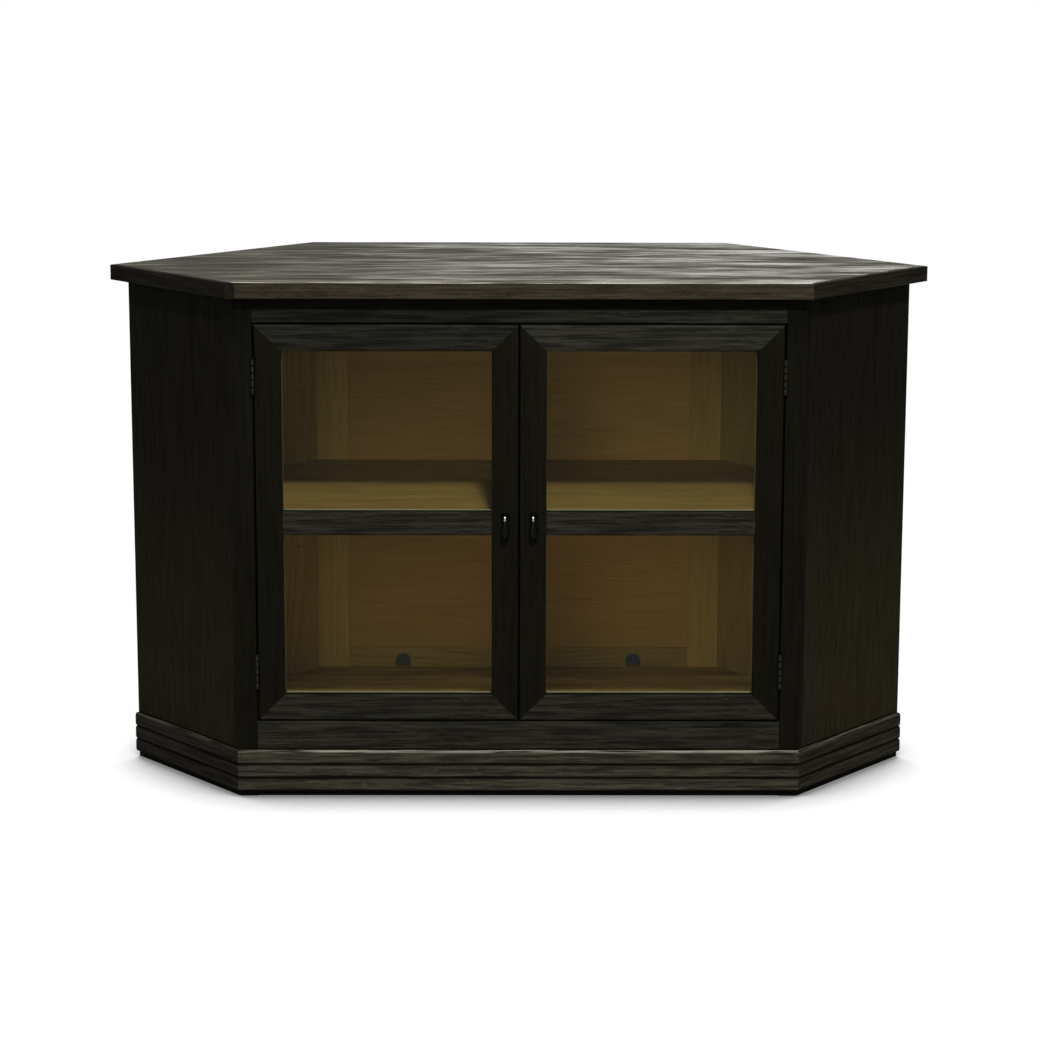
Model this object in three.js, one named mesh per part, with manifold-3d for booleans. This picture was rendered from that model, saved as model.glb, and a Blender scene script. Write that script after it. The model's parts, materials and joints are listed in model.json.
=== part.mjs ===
// Corner cabinet for a television: six-sided plan, overhanging lipped top, reeded plinth,
// a pair of inset glazed doors on butt hinges with drop pulls, and one adjustable shelf.
// Millimetres, +Z up. The front looks along -Y and the two rear sides stand against the walls.
// The origin is on the floor, under the middle of the top.

import * as THREE from "three";
import { mergeVertices } from "three/addons/utils/BufferGeometryUtils.js";
import Module from "manifold-3d";

const wasm = await Module();
wasm.setup();

// Carcase plan: a flat front, two front diagonals, two rear diagonals and a flat back
const FRONT_WIDTH = 792;
const SIDE_RUN = 170;
const REAR_RUN = 253;
const HEIGHT = 740;
const SIDE_THICKNESS = 18;

// Top: planks glued edge to edge with eased joints, lipped along the front and front diagonals
const TOP_THICKNESS = 22;
const TOP_OVERHANG = 18;
const LIPPING = 9;
const PLANK_JOINTS = 3;
const FRONT_PLANK = 116;
const PLANK_WIDTH = 100;
const JOINT_EASE = 0.7;

// Face frame
const FRAME_THICKNESS = 20;
const FRAME_STILE = 26;
const STILE_RETURN = 11;
const FRAME_TOP_RAIL = 36;
const RAIL_ABOVE_FLOOR = 42;

// Bottom board, held in a housing cut round the inside of the carcase
const FLOOR_LEVEL = 68;
const FLOOR_THICKNESS = 18;
const HOUSING_DEPTH = 6;

// Plinth: three reeds in one moulding, planted on the carcase just above the floor
const PLINTH_LIFT = 8.5;
const PLINTH_PROUD = 6;
const REED_COUNT = 3;
const REED_HEIGHT = 19.8;
const REED_GROOVE = 3.3;
const REED_ROUND = 4.6;
const REED_STEPS = 5;

// Back: a grooved frame round one thin panel, set in from the rear edges
const BACK_SET_IN = 10;
const BACK_THICKNESS = 18;
const BACK_STILE = 48;
const BACK_TOP_RAIL = 60;
const BACK_RAIL_ABOVE_FLOOR = 31;
const BACK_PANEL = 6;
const BACK_PANEL_RECESS = 6;
const PANEL_GROOVE = 6;
const PANEL_PLAY = 1;
const CABLE_HOLE_WIDTH = 24;
const CABLE_HOLE_HEIGHT = 22.3;
const CABLE_HOLE_OFFSET = 182;
const CABLE_HOLE_STEPS = 4;

// Doors. Between them the gap narrows from the face to the back.
const DOOR_GAP = 2.5;
const MEETING_BACK_GAP = 0.6;
const DOOR_THICKNESS = 20;
const DOOR_MEMBER = 37;
const MID_RAIL = 34;
const MID_RAIL_RISE = 2;
const LIP_DEPTH = 10;
const REBATE_WIDTH = 8;
const GLASS_THICKNESS = 3;
const GLASS_PLAY = 1;
const BEAD_PROUD = 0.3;

// Butt hinges, knuckles standing just proud of the face
const HINGE_LENGTH = 51;
const HINGE_FROM_END = 72;
const KNUCKLE_RADIUS = 3;
const KNUCKLE_COUNT = 5;
const KNUCKLE_BORE = 1.5;
const HINGE_PIN_RADIUS = 1.1;
const HINGE_PIN_TIP = 1.2;
const LEAF_THICKNESS = 1;
const LEAF_WIDTH = 17;

// Drop pulls: a round rose with a clevis, and a pear-shaped drop that hangs from its pin
const PULL_BELOW_RAIL_TOP = 7;
const ROSE_RADIUS = 6;
const ROSE_THICKNESS = 2;
const PULL_STANDOFF = 8;
const CLEVIS_GAP = 3.4;
const CLEVIS_CHEEK = 1.5;
const CLEVIS_RADIUS = 3;
const CLEVIS_PIN_RADIUS = 1;
const EYE_THICKNESS = 2.8;
const EYE_BORE = 1.4;
const DROP_LENGTH = 31.5;
const DROP_RADIUS = 6;
const DROP_BELLY = 22;
const DROP_NECK = 1.4;
const DROP_SLIM_TO = 11;
const DROP_SWELL_FROM = 14.3;
const DROP_FULL_TO = 27.2;
const DROP_TIP_RADIUS = 3.3;

// Shelf, notched over four pins that stand in rows of holes
const SHELF_THICKNESS = 20;
const SHELF_FRONT_GAP = 6;
const SHELF_PLAY = 1.5;
const PIN_RADIUS = 2.5;
const PIN_STICKS_OUT = 10;
const PIN_HOLE_DEPTH = 9;
const PIN_HOLES = 5;
const PIN_HOLE_PITCH = 62;
const PIN_ABOVE_UNDERSIDE = 10;
const SHELF_BELOW_MID_RAIL = 4;
const REAR_PIN_FROM_BACK = 38;
const FRONT_PIN_FROM_STILE = 60;

// Magnetic catch on the back of the top rail and its plates on the doors
const CATCH_HALF_WIDTH = 34;
const CATCH_DEPTH = 12;
const CATCH_ON_RAIL = 20;
const CATCH_BELOW_RAIL = 18;
const PLATE_THICKNESS = 1;
const PLATE_WIDTH = 24;
const PLATE_HEIGHT = 14;

// Glue line between pieces that meet on a slope, running gap between pieces that move, how far a
// cut runs past what it cuts, how close two points are one, and facets of small round parts
const GLUE_LINE = 0.3;
const CLEARANCE = 0.3;
const OVERCUT = 1;
const SAME_POINT = 1e-4;
const ROUND_STEPS = 16;
const ROUND_STEPS_FINE = 24;
const DROP_STEPS = 8;

// Heights and plan places worked out from the sizes above
const LEFT = -1;
const RIGHT = 1;
const ROOT2 = Math.SQRT2;
const HALF_FRONT = FRONT_WIDTH / 2;
const DEPTH = SIDE_RUN + REAR_RUN;
const UNDER_TOP = HEIGHT - TOP_THICKNESS;
const BACK_FACE = DEPTH - BACK_SET_IN - BACK_THICKNESS;
const OPENING_HALF = HALF_FRONT - FRAME_STILE;
const OPENING_BOTTOM = FLOOR_LEVEL + RAIL_ABOVE_FLOOR;
const OPENING_TOP = UNDER_TOP - FRAME_TOP_RAIL;
const DOOR_BOTTOM = OPENING_BOTTOM + DOOR_GAP;
const DOOR_TOP = OPENING_TOP - DOOR_GAP;
const DOOR_OUTER = OPENING_HALF - DOOR_GAP;
const DOOR_INNER = DOOR_GAP / 2;
const MID_RAIL_CENTRE = (DOOR_BOTTOM + DOOR_TOP) / 2 + MID_RAIL_RISE;
const MID_RAIL_TOP = MID_RAIL_CENTRE + MID_RAIL / 2;
const MID_RAIL_BOTTOM = MID_RAIL_CENTRE - MID_RAIL / 2;
const HINGE_AXIS_X = OPENING_HALF - DOOR_GAP / 2;
const HINGE_AXIS_Y = -(KNUCKLE_RADIUS + CLEARANCE);
const SHELF_BOTTOM = MID_RAIL_CENTRE - SHELF_BELOW_MID_RAIL - SHELF_THICKNESS / 2;
const PIN_LEVEL = SHELF_BOTTOM + PIN_ABOVE_UNDERSIDE;
const BACK_STILE_INNER = innerCornerX() - BACK_STILE;
const BACK_RAIL_TOP = FLOOR_LEVEL + BACK_RAIL_ABOVE_FLOOR;
const BACK_RAIL_HIGH = UNDER_TOP - BACK_TOP_RAIL;
const PANEL_FRONT = BACK_FACE + BACK_PANEL_RECESS;
const PULL_LEVEL = MID_RAIL_TOP - PULL_BELOW_RAIL_TOP;
const PULL_X = DOOR_INNER + DOOR_MEMBER / 2;

const finishes = {
  stainedOak: { color: 0x1f1d18, roughness: 0.55, metalness: 0 },
  naturalOak: { color: 0xa8813f, roughness: 0.6, metalness: 0 },
  glass: { color: 0xdfe8e6, roughness: 0.05, metalness: 0, transparent: true, opacity: 0.25 },
  darkBronze: { color: 0x2c2a28, roughness: 0.35, metalness: 0.9 },
  steel: { color: 0x8d8f8f, roughness: 0.35, metalness: 1 },
  blackPlastic: { color: 0x18181a, roughness: 0.5, metalness: 0 },
};

const cabinet = new THREE.Group();

// Plan geometry. Outward offsets from the four kinds of carcase face give a six-sided outline:
// front left, front right, right corner, back right, back left, left corner.
function outline(front, side, rear, back) {
  const sideLine = HALF_FRONT + side * ROOT2;
  const rearLine = HALF_FRONT + 2 * SIDE_RUN + rear * ROOT2;
  const frontX = sideLine - front;
  const cornerX = (sideLine + rearLine) / 2;
  const cornerY = (rearLine - sideLine) / 2;
  const backX = rearLine - (DEPTH + back);
  return [
    [-frontX, -front], [frontX, -front], [cornerX, cornerY],
    [backX, DEPTH + back], [-backX, DEPTH + back], [-cornerX, cornerY],
  ];
}

function innerCornerX() {
  return outline(0, 0, -SIDE_THICKNESS, BACK_FACE - DEPTH)[3][0];
}

// A point on a diagonal side: along it from the front corner, and in from its outer face
function onSide(hand, along, inward) {
  return [hand * (HALF_FRONT + (along - inward) / ROOT2), (along + inward) / ROOT2];
}

// A point on a rear side: along it from the outer corner, and in from its outer face
function onRear(hand, along, inward) {
  const corner = outline(0, 0, 0, 0)[2];
  return [hand * (corner[0] - (along + inward) / ROOT2), corner[1] + (along - inward) / ROOT2];
}

// Solid helpers
function toSolid(geometry) {
  const bare = geometry.index ? geometry.toNonIndexed() : geometry.clone();
  bare.deleteAttribute("normal");
  bare.deleteAttribute("uv");
  const merged = mergeVertices(bare, SAME_POINT);
  return new wasm.Manifold(new wasm.Mesh({
    numProp: 3,
    vertProperties: new Float32Array(merged.attributes.position.array),
    triVerts: new Uint32Array(merged.index.array),
  }));
}

function toGeometry(solid) {
  const mesh = solid.getMesh();
  const geometry = new THREE.BufferGeometry();
  geometry.setAttribute("position", new THREE.BufferAttribute(mesh.vertProperties, mesh.numProp));
  geometry.setIndex(new THREE.BufferAttribute(mesh.triVerts, 1));
  return geometry;
}

function join(...geometries) {
  return toGeometry(geometries.map(toSolid).reduce((whole, piece) => whole.add(piece)));
}

function cut(geometry, ...tools) {
  return toGeometry(tools.map(toSolid).reduce((whole, tool) => whole.subtract(tool), toSolid(geometry)));
}

function shapeOf(points) {
  return new THREE.Shape(points.map(([x, y]) => new THREE.Vector2(x, y)));
}

// A plan outline raised from one height to another
function prism(points, low, high) {
  const geometry = new THREE.ExtrudeGeometry(shapeOf(points), { depth: high - low, bevelEnabled: false });
  return geometry.translate(0, 0, low);
}

function block(x0, x1, y0, y1, z0, z1) {
  const geometry = new THREE.BoxGeometry(Math.abs(x1 - x0), Math.abs(y1 - y0), Math.abs(z1 - z0));
  return geometry.translate((x0 + x1) / 2, (y0 + y1) / 2, (z0 + z1) / 2);
}

// An upright outline in X and Z, carried from one depth to another
function upright(shape, front, back) {
  const geometry = new THREE.ExtrudeGeometry(shape, { depth: back - front, bevelEnabled: false });
  return geometry.rotateX(Math.PI / 2).translate(0, back, 0);
}

// A round bar from one point towards a direction
function bar(radius, length, start, direction, steps = ROUND_STEPS) {
  const geometry = new THREE.CylinderGeometry(radius, radius, length, steps).translate(0, length / 2, 0);
  const turn = new THREE.Quaternion().setFromUnitVectors(
    new THREE.Vector3(0, 1, 0), new THREE.Vector3(...direction).normalize());
  return geometry.applyQuaternion(turn).translate(...start);
}

// A length of moulding: one profile, placed by a function at each of its two ends, so that the
// ends can be mitred in any direction
function moulding(profile, placeStart, placeEnd) {
  const contour = profile.map(([u, v]) => new THREE.Vector2(u, v));
  const caps = THREE.ShapeUtils.triangulateShape(contour, []);
  const start = profile.map(([u, v]) => new THREE.Vector3(...placeStart(u, v)));
  const end = profile.map(([u, v]) => new THREE.Vector3(...placeEnd(u, v)));
  const triangles = [];
  caps.forEach(([a, b, c]) => {
    triangles.push([start[a], start[c], start[b]], [end[a], end[b], end[c]]);
  });
  profile.forEach((_, i) => {
    const next = (i + 1) % profile.length;
    triangles.push([start[i], start[next], end[next]], [start[i], end[next], end[i]]);
  });
  const volume = triangles.reduce((sum, [a, b, c]) => sum + a.dot(b.clone().cross(c)), 0);
  const outward = volume < 0 ? triangles.map(([a, b, c]) => [a, c, b]) : triangles;
  const geometry = new THREE.BufferGeometry().setFromPoints(outward.flat());
  return mergeVertices(geometry, SAME_POINT);
}

function addPiece(name, geometry, finish, group = cabinet) {
  const mesh = new THREE.Mesh(geometry, new THREE.MeshStandardMaterial(finishes[finish]));
  mesh.name = name;
  group.add(mesh);
}

const sideName = (hand) => (hand === LEFT ? "left" : "right");

// Top: the lipping on the left runs through to the front face, the right corner is mitred
function addTop() {
  const lipped = TOP_OVERHANG - LIPPING;
  const outer = outline(TOP_OVERHANG, TOP_OVERHANG, TOP_OVERHANG, TOP_OVERHANG);
  const inner = outline(lipped, lipped, TOP_OVERHANG, TOP_OVERHANG);
  const board = outline(lipped, lipped - GLUE_LINE, TOP_OVERHANG, TOP_OVERHANG);
  const leftInside = outline(TOP_OVERHANG, lipped, TOP_OVERHANG, TOP_OVERHANG)[0];
  const frontEnd = outline(TOP_OVERHANG, lipped - GLUE_LINE, TOP_OVERHANG, TOP_OVERHANG)[0];
  const [frontLeft, frontRight, cornerRight, , , cornerLeft] = outer;
  const lippings = {
    front: [frontEnd, frontRight, inner[1], board[0]],
    left: [frontLeft, leftInside, inner[5], cornerLeft],
    right: [frontRight, cornerRight, inner[2], inner[1]],
  };
  Object.entries(lippings).forEach(([place, points]) => {
    addPiece(`top_lipping_${place}`, prism(points, UNDER_TOP, HEIGHT), "stainedOak");
  });

  const halfWidth = cornerRight[0];
  const grooves = Array.from({ length: PLANK_JOINTS }, (_, joint) => {
    const y = board[0][1] + FRONT_PLANK + joint * PLANK_WIDTH;
    const vee = [[-JOINT_EASE, JOINT_EASE], [0, -JOINT_EASE], [JOINT_EASE, JOINT_EASE]];
    const at = (hand) => (across, up) => [hand * (halfWidth + OVERCUT), y + across, HEIGHT + up];
    return moulding(vee, at(LEFT), at(RIGHT));
  });
  addPiece("top_board", cut(prism(board, UNDER_TOP, HEIGHT), ...grooves), "stainedOak");
}

// The space that the bottom board fills, housing included
function housing() {
  const seat = HOUSING_DEPTH;
  const plan = outline(seat - FRAME_THICKNESS, seat - SIDE_THICKNESS, seat - SIDE_THICKNESS,
    seat + BACK_FACE - DEPTH);
  return prism(plan, FLOOR_LEVEL - FLOOR_THICKNESS, FLOOR_LEVEL);
}

// Face frame: stiles that return round the corner, rails between them
function addFaceFrame() {
  [LEFT, RIGHT].forEach((hand) => {
    const backEdge = HALF_FRONT + (STILE_RETURN * ROOT2 - FRAME_THICKNESS);
    const stile = [
      [hand * HALF_FRONT, 0], [hand * OPENING_HALF, 0], [hand * OPENING_HALF, FRAME_THICKNESS],
      [hand * backEdge, FRAME_THICKNESS], onSide(hand, STILE_RETURN, 0),
    ];
    addPiece(`face_stile_${sideName(hand)}`, cut(prism(stile, 0, UNDER_TOP), housing()), "stainedOak");
  });
  addPiece("face_top_rail",
    block(-OPENING_HALF, OPENING_HALF, 0, FRAME_THICKNESS, OPENING_TOP, UNDER_TOP), "stainedOak");
  const low = block(-OPENING_HALF, OPENING_HALF, 0, FRAME_THICKNESS, 0, OPENING_BOTTOM);
  addPiece("face_bottom_rail", cut(low, housing()), "stainedOak");
}

// Shelf pin places: plan point on the inner face and the direction into the cabinet
function pinPlaces() {
  const sideLength = SIDE_RUN * ROOT2;
  const rearLength = REAR_RUN * ROOT2;
  const alongSide = Math.min(STILE_RETURN + FRONT_PIN_FROM_STILE, sideLength / 2);
  const backCorner = rearLength - (BACK_SET_IN + BACK_THICKNESS) * ROOT2 + SIDE_THICKNESS;
  const alongRear = backCorner - REAR_PIN_FROM_BACK;
  return [LEFT, RIGHT].flatMap((hand) => [
    { hand, panel: "side", point: onSide(hand, alongSide, SIDE_THICKNESS), into: [-hand, 1] },
    { hand, panel: "rear", point: onRear(hand, alongRear, SIDE_THICKNESS), into: [-hand, -1] },
  ]);
}

function pinBar({ point, into }, z, radius, inwards, outwards) {
  const step = 1 / ROOT2;
  const start = [point[0] - into[0] * step * inwards, point[1] - into[1] * step * inwards, z];
  return bar(radius, inwards + outwards, start, [into[0], into[1], 0]);
}

function pinHoles(hand, panel) {
  const place = pinPlaces().find((pin) => pin.hand === hand && pin.panel === panel);
  const middle = (PIN_HOLES - 1) / 2;
  return Array.from({ length: PIN_HOLES }, (_, i) => {
    const z = PIN_LEVEL + (i - middle) * PIN_HOLE_PITCH;
    return pinBar(place, z, PIN_RADIUS + CLEARANCE, PIN_HOLE_DEPTH, OVERCUT);
  });
}

// Front diagonal panels run from the stile's return to the outer corner; the rear panels butt
// against their inner face and run on to the back
function addSidePanels() {
  const start = STILE_RETURN + GLUE_LINE;
  const end = SIDE_RUN * ROOT2;
  [LEFT, RIGHT].forEach((hand) => {
    const side = [
      onSide(hand, start, 0), onSide(hand, end, 0),
      onSide(hand, end, SIDE_THICKNESS), onSide(hand, start, SIDE_THICKNESS),
    ];
    addPiece(`side_panel_${sideName(hand)}`,
      cut(prism(side, 0, UNDER_TOP), housing(), ...pinHoles(hand, "side")), "stainedOak");
    const outerBack = outline(0, 0, 0, 0)[3];
    const innerBack = outline(0, 0, -SIDE_THICKNESS, 0)[3];
    const butt = SIDE_THICKNESS + GLUE_LINE;
    const rear = [
      onRear(hand, butt, 0), [hand * outerBack[0], outerBack[1]],
      [hand * innerBack[0], innerBack[1]], onRear(hand, butt, SIDE_THICKNESS),
    ];
    addPiece(`rear_panel_${sideName(hand)}`,
      cut(prism(rear, 0, UNDER_TOP), housing(), ...pinHoles(hand, "rear")), "naturalOak");
  });
}

// Back frame: bevelled stiles grooved for the panel, rails with stub tenons in the same groove
function addBack() {
  const back = BACK_FACE + BACK_THICKNESS;
  const grooveBack = PANEL_FRONT + BACK_PANEL;
  const bevel = (y) => innerCornerX() - GLUE_LINE * ROOT2 - (y - BACK_FACE);
  const grooveX = BACK_STILE_INNER + PANEL_GROOVE;
  [LEFT, RIGHT].forEach((hand) => {
    const stile = [
      [bevel(BACK_FACE), BACK_FACE], [BACK_STILE_INNER, BACK_FACE], [BACK_STILE_INNER, PANEL_FRONT],
      [grooveX, PANEL_FRONT], [grooveX, grooveBack], [BACK_STILE_INNER, grooveBack],
      [BACK_STILE_INNER, back], [bevel(back), back],
    ].map(([x, y]) => [hand * x, y]);
    addPiece(`back_stile_${sideName(hand)}`, cut(prism(stile, 0, UNDER_TOP), housing()), "naturalOak");
  });

  const tenon = (low, high) => block(-grooveX, grooveX, PANEL_FRONT, grooveBack, low, high);
  const rail = (low, high) => block(-BACK_STILE_INNER, BACK_STILE_INNER, BACK_FACE, back, low, high);
  const grooveEnd = grooveX + OVERCUT;
  const groove = (low, high) => block(-grooveEnd, grooveEnd, PANEL_FRONT, grooveBack, low, high);
  const cableHoles = [LEFT, RIGHT].map((hand) => {
    const half = CABLE_HOLE_WIDTH / 2;
    const spring = FLOOR_LEVEL + CABLE_HOLE_HEIGHT - half;
    const arch = new THREE.Shape();
    arch.moveTo(-half, FLOOR_LEVEL);
    arch.lineTo(half, FLOOR_LEVEL);
    arch.lineTo(half, spring);
    arch.absarc(0, spring, half, 0, Math.PI, false);
    const points = arch.extractPoints(CABLE_HOLE_STEPS).shape;
    const hole = new THREE.Shape(points.map((p) => new THREE.Vector2(p.x + hand * CABLE_HOLE_OFFSET, p.y)));
    return upright(hole, BACK_FACE - OVERCUT, back + OVERCUT);
  });
  const low = cut(join(rail(0, BACK_RAIL_TOP), tenon(0, BACK_RAIL_TOP - PANEL_GROOVE)),
    groove(BACK_RAIL_TOP - PANEL_GROOVE, BACK_RAIL_TOP + OVERCUT), housing(), ...cableHoles);
  addPiece("back_bottom_rail", low, "naturalOak");
  const high = cut(join(rail(BACK_RAIL_HIGH, UNDER_TOP), tenon(BACK_RAIL_HIGH + PANEL_GROOVE, UNDER_TOP)),
    groove(BACK_RAIL_HIGH - OVERCUT, BACK_RAIL_HIGH + PANEL_GROOVE));
  addPiece("back_top_rail", high, "naturalOak");
  const panelHalf = grooveX - PANEL_PLAY;
  addPiece("back_panel", block(-panelHalf, panelHalf, PANEL_FRONT, grooveBack,
    BACK_RAIL_TOP - PANEL_GROOVE, BACK_RAIL_HIGH + PANEL_GROOVE), "naturalOak");
}

function addBottomBoard() {
  const reach = HOUSING_DEPTH - CLEARANCE;
  const plan = outline(reach - FRAME_THICKNESS, reach - SIDE_THICKNESS, reach - SIDE_THICKNESS,
    reach + BACK_FACE - DEPTH);
  addPiece("bottom_board", prism(plan, FLOOR_LEVEL - FLOOR_THICKNESS, FLOOR_LEVEL), "naturalOak");
}

// Reeded profile: outward distance and height, each reed flat-faced with rounded edges
function plinthProfile() {
  const root = PLINTH_PROUD - REED_GROOVE;
  const points = [[GLUE_LINE, PLINTH_LIFT]];
  for (let reed = 0; reed < REED_COUNT; reed += 1) {
    const low = PLINTH_LIFT + reed * REED_HEIGHT;
    const high = low + REED_HEIGHT;
    for (let step = 0; step <= REED_STEPS; step += 1) {
      const turn = (step / REED_STEPS) * (Math.PI / 2);
      points.push([root + REED_GROOVE * Math.sin(turn), low + REED_ROUND * (1 - Math.cos(turn))]);
    }
    for (let step = REED_STEPS; step >= (reed === REED_COUNT - 1 ? 0 : 1); step -= 1) {
      const turn = (step / REED_STEPS) * (Math.PI / 2);
      points.push([root + REED_GROOVE * Math.sin(turn), high - REED_ROUND * (1 - Math.cos(turn))]);
    }
  }
  points.push([GLUE_LINE, PLINTH_LIFT + REED_COUNT * REED_HEIGHT]);
  return points;
}

// The moulding is mitred at the front corners and cut off square at the wall sides
function addPlinth() {
  const profile = plinthProfile();
  const frontCorner = (hand) => (out, z) => {
    const [x, y] = outline(out, out, 0, 0)[1];
    return [hand * x, y, z];
  };
  const wallEnd = (hand) => (out, z) => {
    return [...onSide(hand, SIDE_RUN * ROOT2, -out), z];
  };
  addPiece("plinth_front", moulding(profile, frontCorner(LEFT), frontCorner(RIGHT)), "stainedOak");
  [LEFT, RIGHT].forEach((hand) => {
    addPiece(`plinth_${sideName(hand)}`, moulding(profile, frontCorner(hand), wallEnd(hand)), "stainedOak");
  });
}

// Shelf: the inside outline less a little play, notched underneath over its four pins
function addShelf() {
  const gap = SIDE_THICKNESS + SHELF_PLAY;
  const plan = outline(-(FRAME_THICKNESS + SHELF_FRONT_GAP), -gap, -gap, BACK_FACE - DEPTH - SHELF_PLAY);
  const seat = PIN_LEVEL + PIN_RADIUS + CLEARANCE;
  const notches = pinPlaces().map(({ point, into }) => {
    const half = PIN_RADIUS + CLEARANCE * 2;
    const reach = PIN_STICKS_OUT + CLEARANCE * 2;
    const notch = block(-half, half, -OVERCUT, reach, SHELF_BOTTOM - OVERCUT, seat);
    return notch.rotateZ(Math.atan2(into[1], into[0]) - Math.PI / 2).translate(point[0], point[1], 0);
  });
  const board = prism(plan, SHELF_BOTTOM, SHELF_BOTTOM + SHELF_THICKNESS);
  addPiece("shelf", cut(board, ...notches), "naturalOak");
  pinPlaces().forEach((place) => {
    const pin = pinBar(place, PIN_LEVEL, PIN_RADIUS, PIN_HOLE_DEPTH - CLEARANCE, PIN_STICKS_OUT);
    addPiece(`shelf_pin_${sideName(place.hand)}_${place.panel}`, pin, "steel");
  });
}

// Doors. Each member is one rebated profile: distance in from the door's edge, and depth.
function memberProfile() {
  return [
    [0, 0], [DOOR_MEMBER, 0], [DOOR_MEMBER, LIP_DEPTH],
    [DOOR_MEMBER - REBATE_WIDTH, LIP_DEPTH], [DOOR_MEMBER - REBATE_WIDTH, DOOR_THICKNESS],
    [0, DOOR_THICKNESS],
  ];
}

function addDoorFrame(hand, group) {
  const name = sideName(hand);
  const profile = memberProfile();
  const corner = (edge, inwards, level, upwards) => (u, y) =>
    [hand * (edge + inwards * u), y, level + upwards * u];
  const hingeLow = corner(DOOR_OUTER, -1, DOOR_BOTTOM, 1);
  const hingeHigh = corner(DOOR_OUTER, -1, DOOR_TOP, -1);
  const meetLow = corner(DOOR_INNER, 1, DOOR_BOTTOM, 1);
  const meetHigh = corner(DOOR_INNER, 1, DOOR_TOP, -1);
  addPiece(`${name}_door_hinge_stile`, moulding(profile, hingeLow, hingeHigh), "stainedOak", group);
  const backEdge = MEETING_BACK_GAP / 2;
  const planedEdge = [[DOOR_INNER, 0], [DOOR_INNER, DOOR_THICKNESS], [backEdge, DOOR_THICKNESS]];
  const taper = prism(planedEdge.map(([x, y]) => [hand * x, y]), DOOR_BOTTOM, DOOR_TOP);
  const meeting = join(moulding(profile, meetLow, meetHigh), taper);
  addPiece(`${name}_door_meeting_stile`, meeting, "stainedOak", group);
  addPiece(`${name}_door_top_rail`, moulding(profile, hingeHigh, meetHigh), "stainedOak", group);
  addPiece(`${name}_door_bottom_rail`, moulding(profile, hingeLow, meetLow), "stainedOak", group);

  const inner = DOOR_INNER + DOOR_MEMBER;
  const outer = DOOR_OUTER - DOOR_MEMBER;
  const face = block(hand * inner, hand * outer, 0, LIP_DEPTH, MID_RAIL_BOTTOM, MID_RAIL_TOP);
  const core = block(hand * (inner - REBATE_WIDTH), hand * (outer + REBATE_WIDTH), LIP_DEPTH,
    DOOR_THICKNESS, MID_RAIL_BOTTOM + REBATE_WIDTH, MID_RAIL_TOP - REBATE_WIDTH);
  addPiece(`${name}_door_mid_rail`, join(face, core), "stainedOak", group);
}

// The two panes of a door: sight edges of each opening
function paneOpenings() {
  return {
    upper: [MID_RAIL_TOP, DOOR_TOP - DOOR_MEMBER],
    lower: [DOOR_BOTTOM + DOOR_MEMBER, MID_RAIL_BOTTOM],
  };
}

// A flat rectangular ring in X and Z
function ring(x0, x1, z0, z1, width, front, back) {
  const corners = (inset) => [
    [x0 + inset, z0 + inset], [x1 - inset, z0 + inset], [x1 - inset, z1 - inset], [x0 + inset, z1 - inset],
  ];
  const shape = shapeOf(corners(0));
  shape.holes.push(shapeOf(corners(width)));
  return upright(shape, front, back);
}

function addGlazing(hand, group) {
  const name = sideName(hand);
  const left = Math.min(hand * (DOOR_INNER + DOOR_MEMBER), hand * (DOOR_OUTER - DOOR_MEMBER));
  const right = left + DOOR_OUTER - DOOR_INNER - 2 * DOOR_MEMBER;
  const glassBack = LIP_DEPTH + GLASS_THICKNESS;
  const reach = REBATE_WIDTH - GLASS_PLAY;
  Object.entries(paneOpenings()).forEach(([place, [low, high]]) => {
    addPiece(`${name}_glass_${place}`, block(left - reach, right + reach, LIP_DEPTH, glassBack,
      low - reach, high + reach), "glass", group);
    addPiece(`${name}_bead_${place}`, ring(left - REBATE_WIDTH, right + REBATE_WIDTH,
      low - REBATE_WIDTH, high + REBATE_WIDTH, REBATE_WIDTH + BEAD_PROUD, glassBack, DOOR_THICKNESS),
      "naturalOak", group);
  });
}

// One leaf of a butt hinge with its own share of the knuckles. The plate lies on the edge that
// carries it, and only its own knuckles reach forward to the pin.
function hingeLeaf(hand, level, plateX, firstKnuckle) {
  const low = level - HINGE_LENGTH / 2;
  const pitch = HINGE_LENGTH / KNUCKLE_COUNT;
  const axis = [hand * HINGE_AXIS_X, HINGE_AXIS_Y];
  const inside = hand * plateX;
  const outside = hand * (plateX + LEAF_THICKNESS);
  const pieces = [block(inside, outside, CLEARANCE, LEAF_WIDTH, low, low + HINGE_LENGTH)];
  for (let knuckle = firstKnuckle; knuckle < KNUCKLE_COUNT; knuckle += 2) {
    const bottom = low + knuckle * pitch + CLEARANCE / 2;
    const height = pitch - CLEARANCE;
    pieces.push(block(inside, outside, HINGE_AXIS_Y, CLEARANCE + OVERCUT, bottom, bottom + height));
    pieces.push(bar(KNUCKLE_RADIUS, height, [...axis, bottom], [0, 0, 1]));
  }
  return join(...pieces);
}

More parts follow.
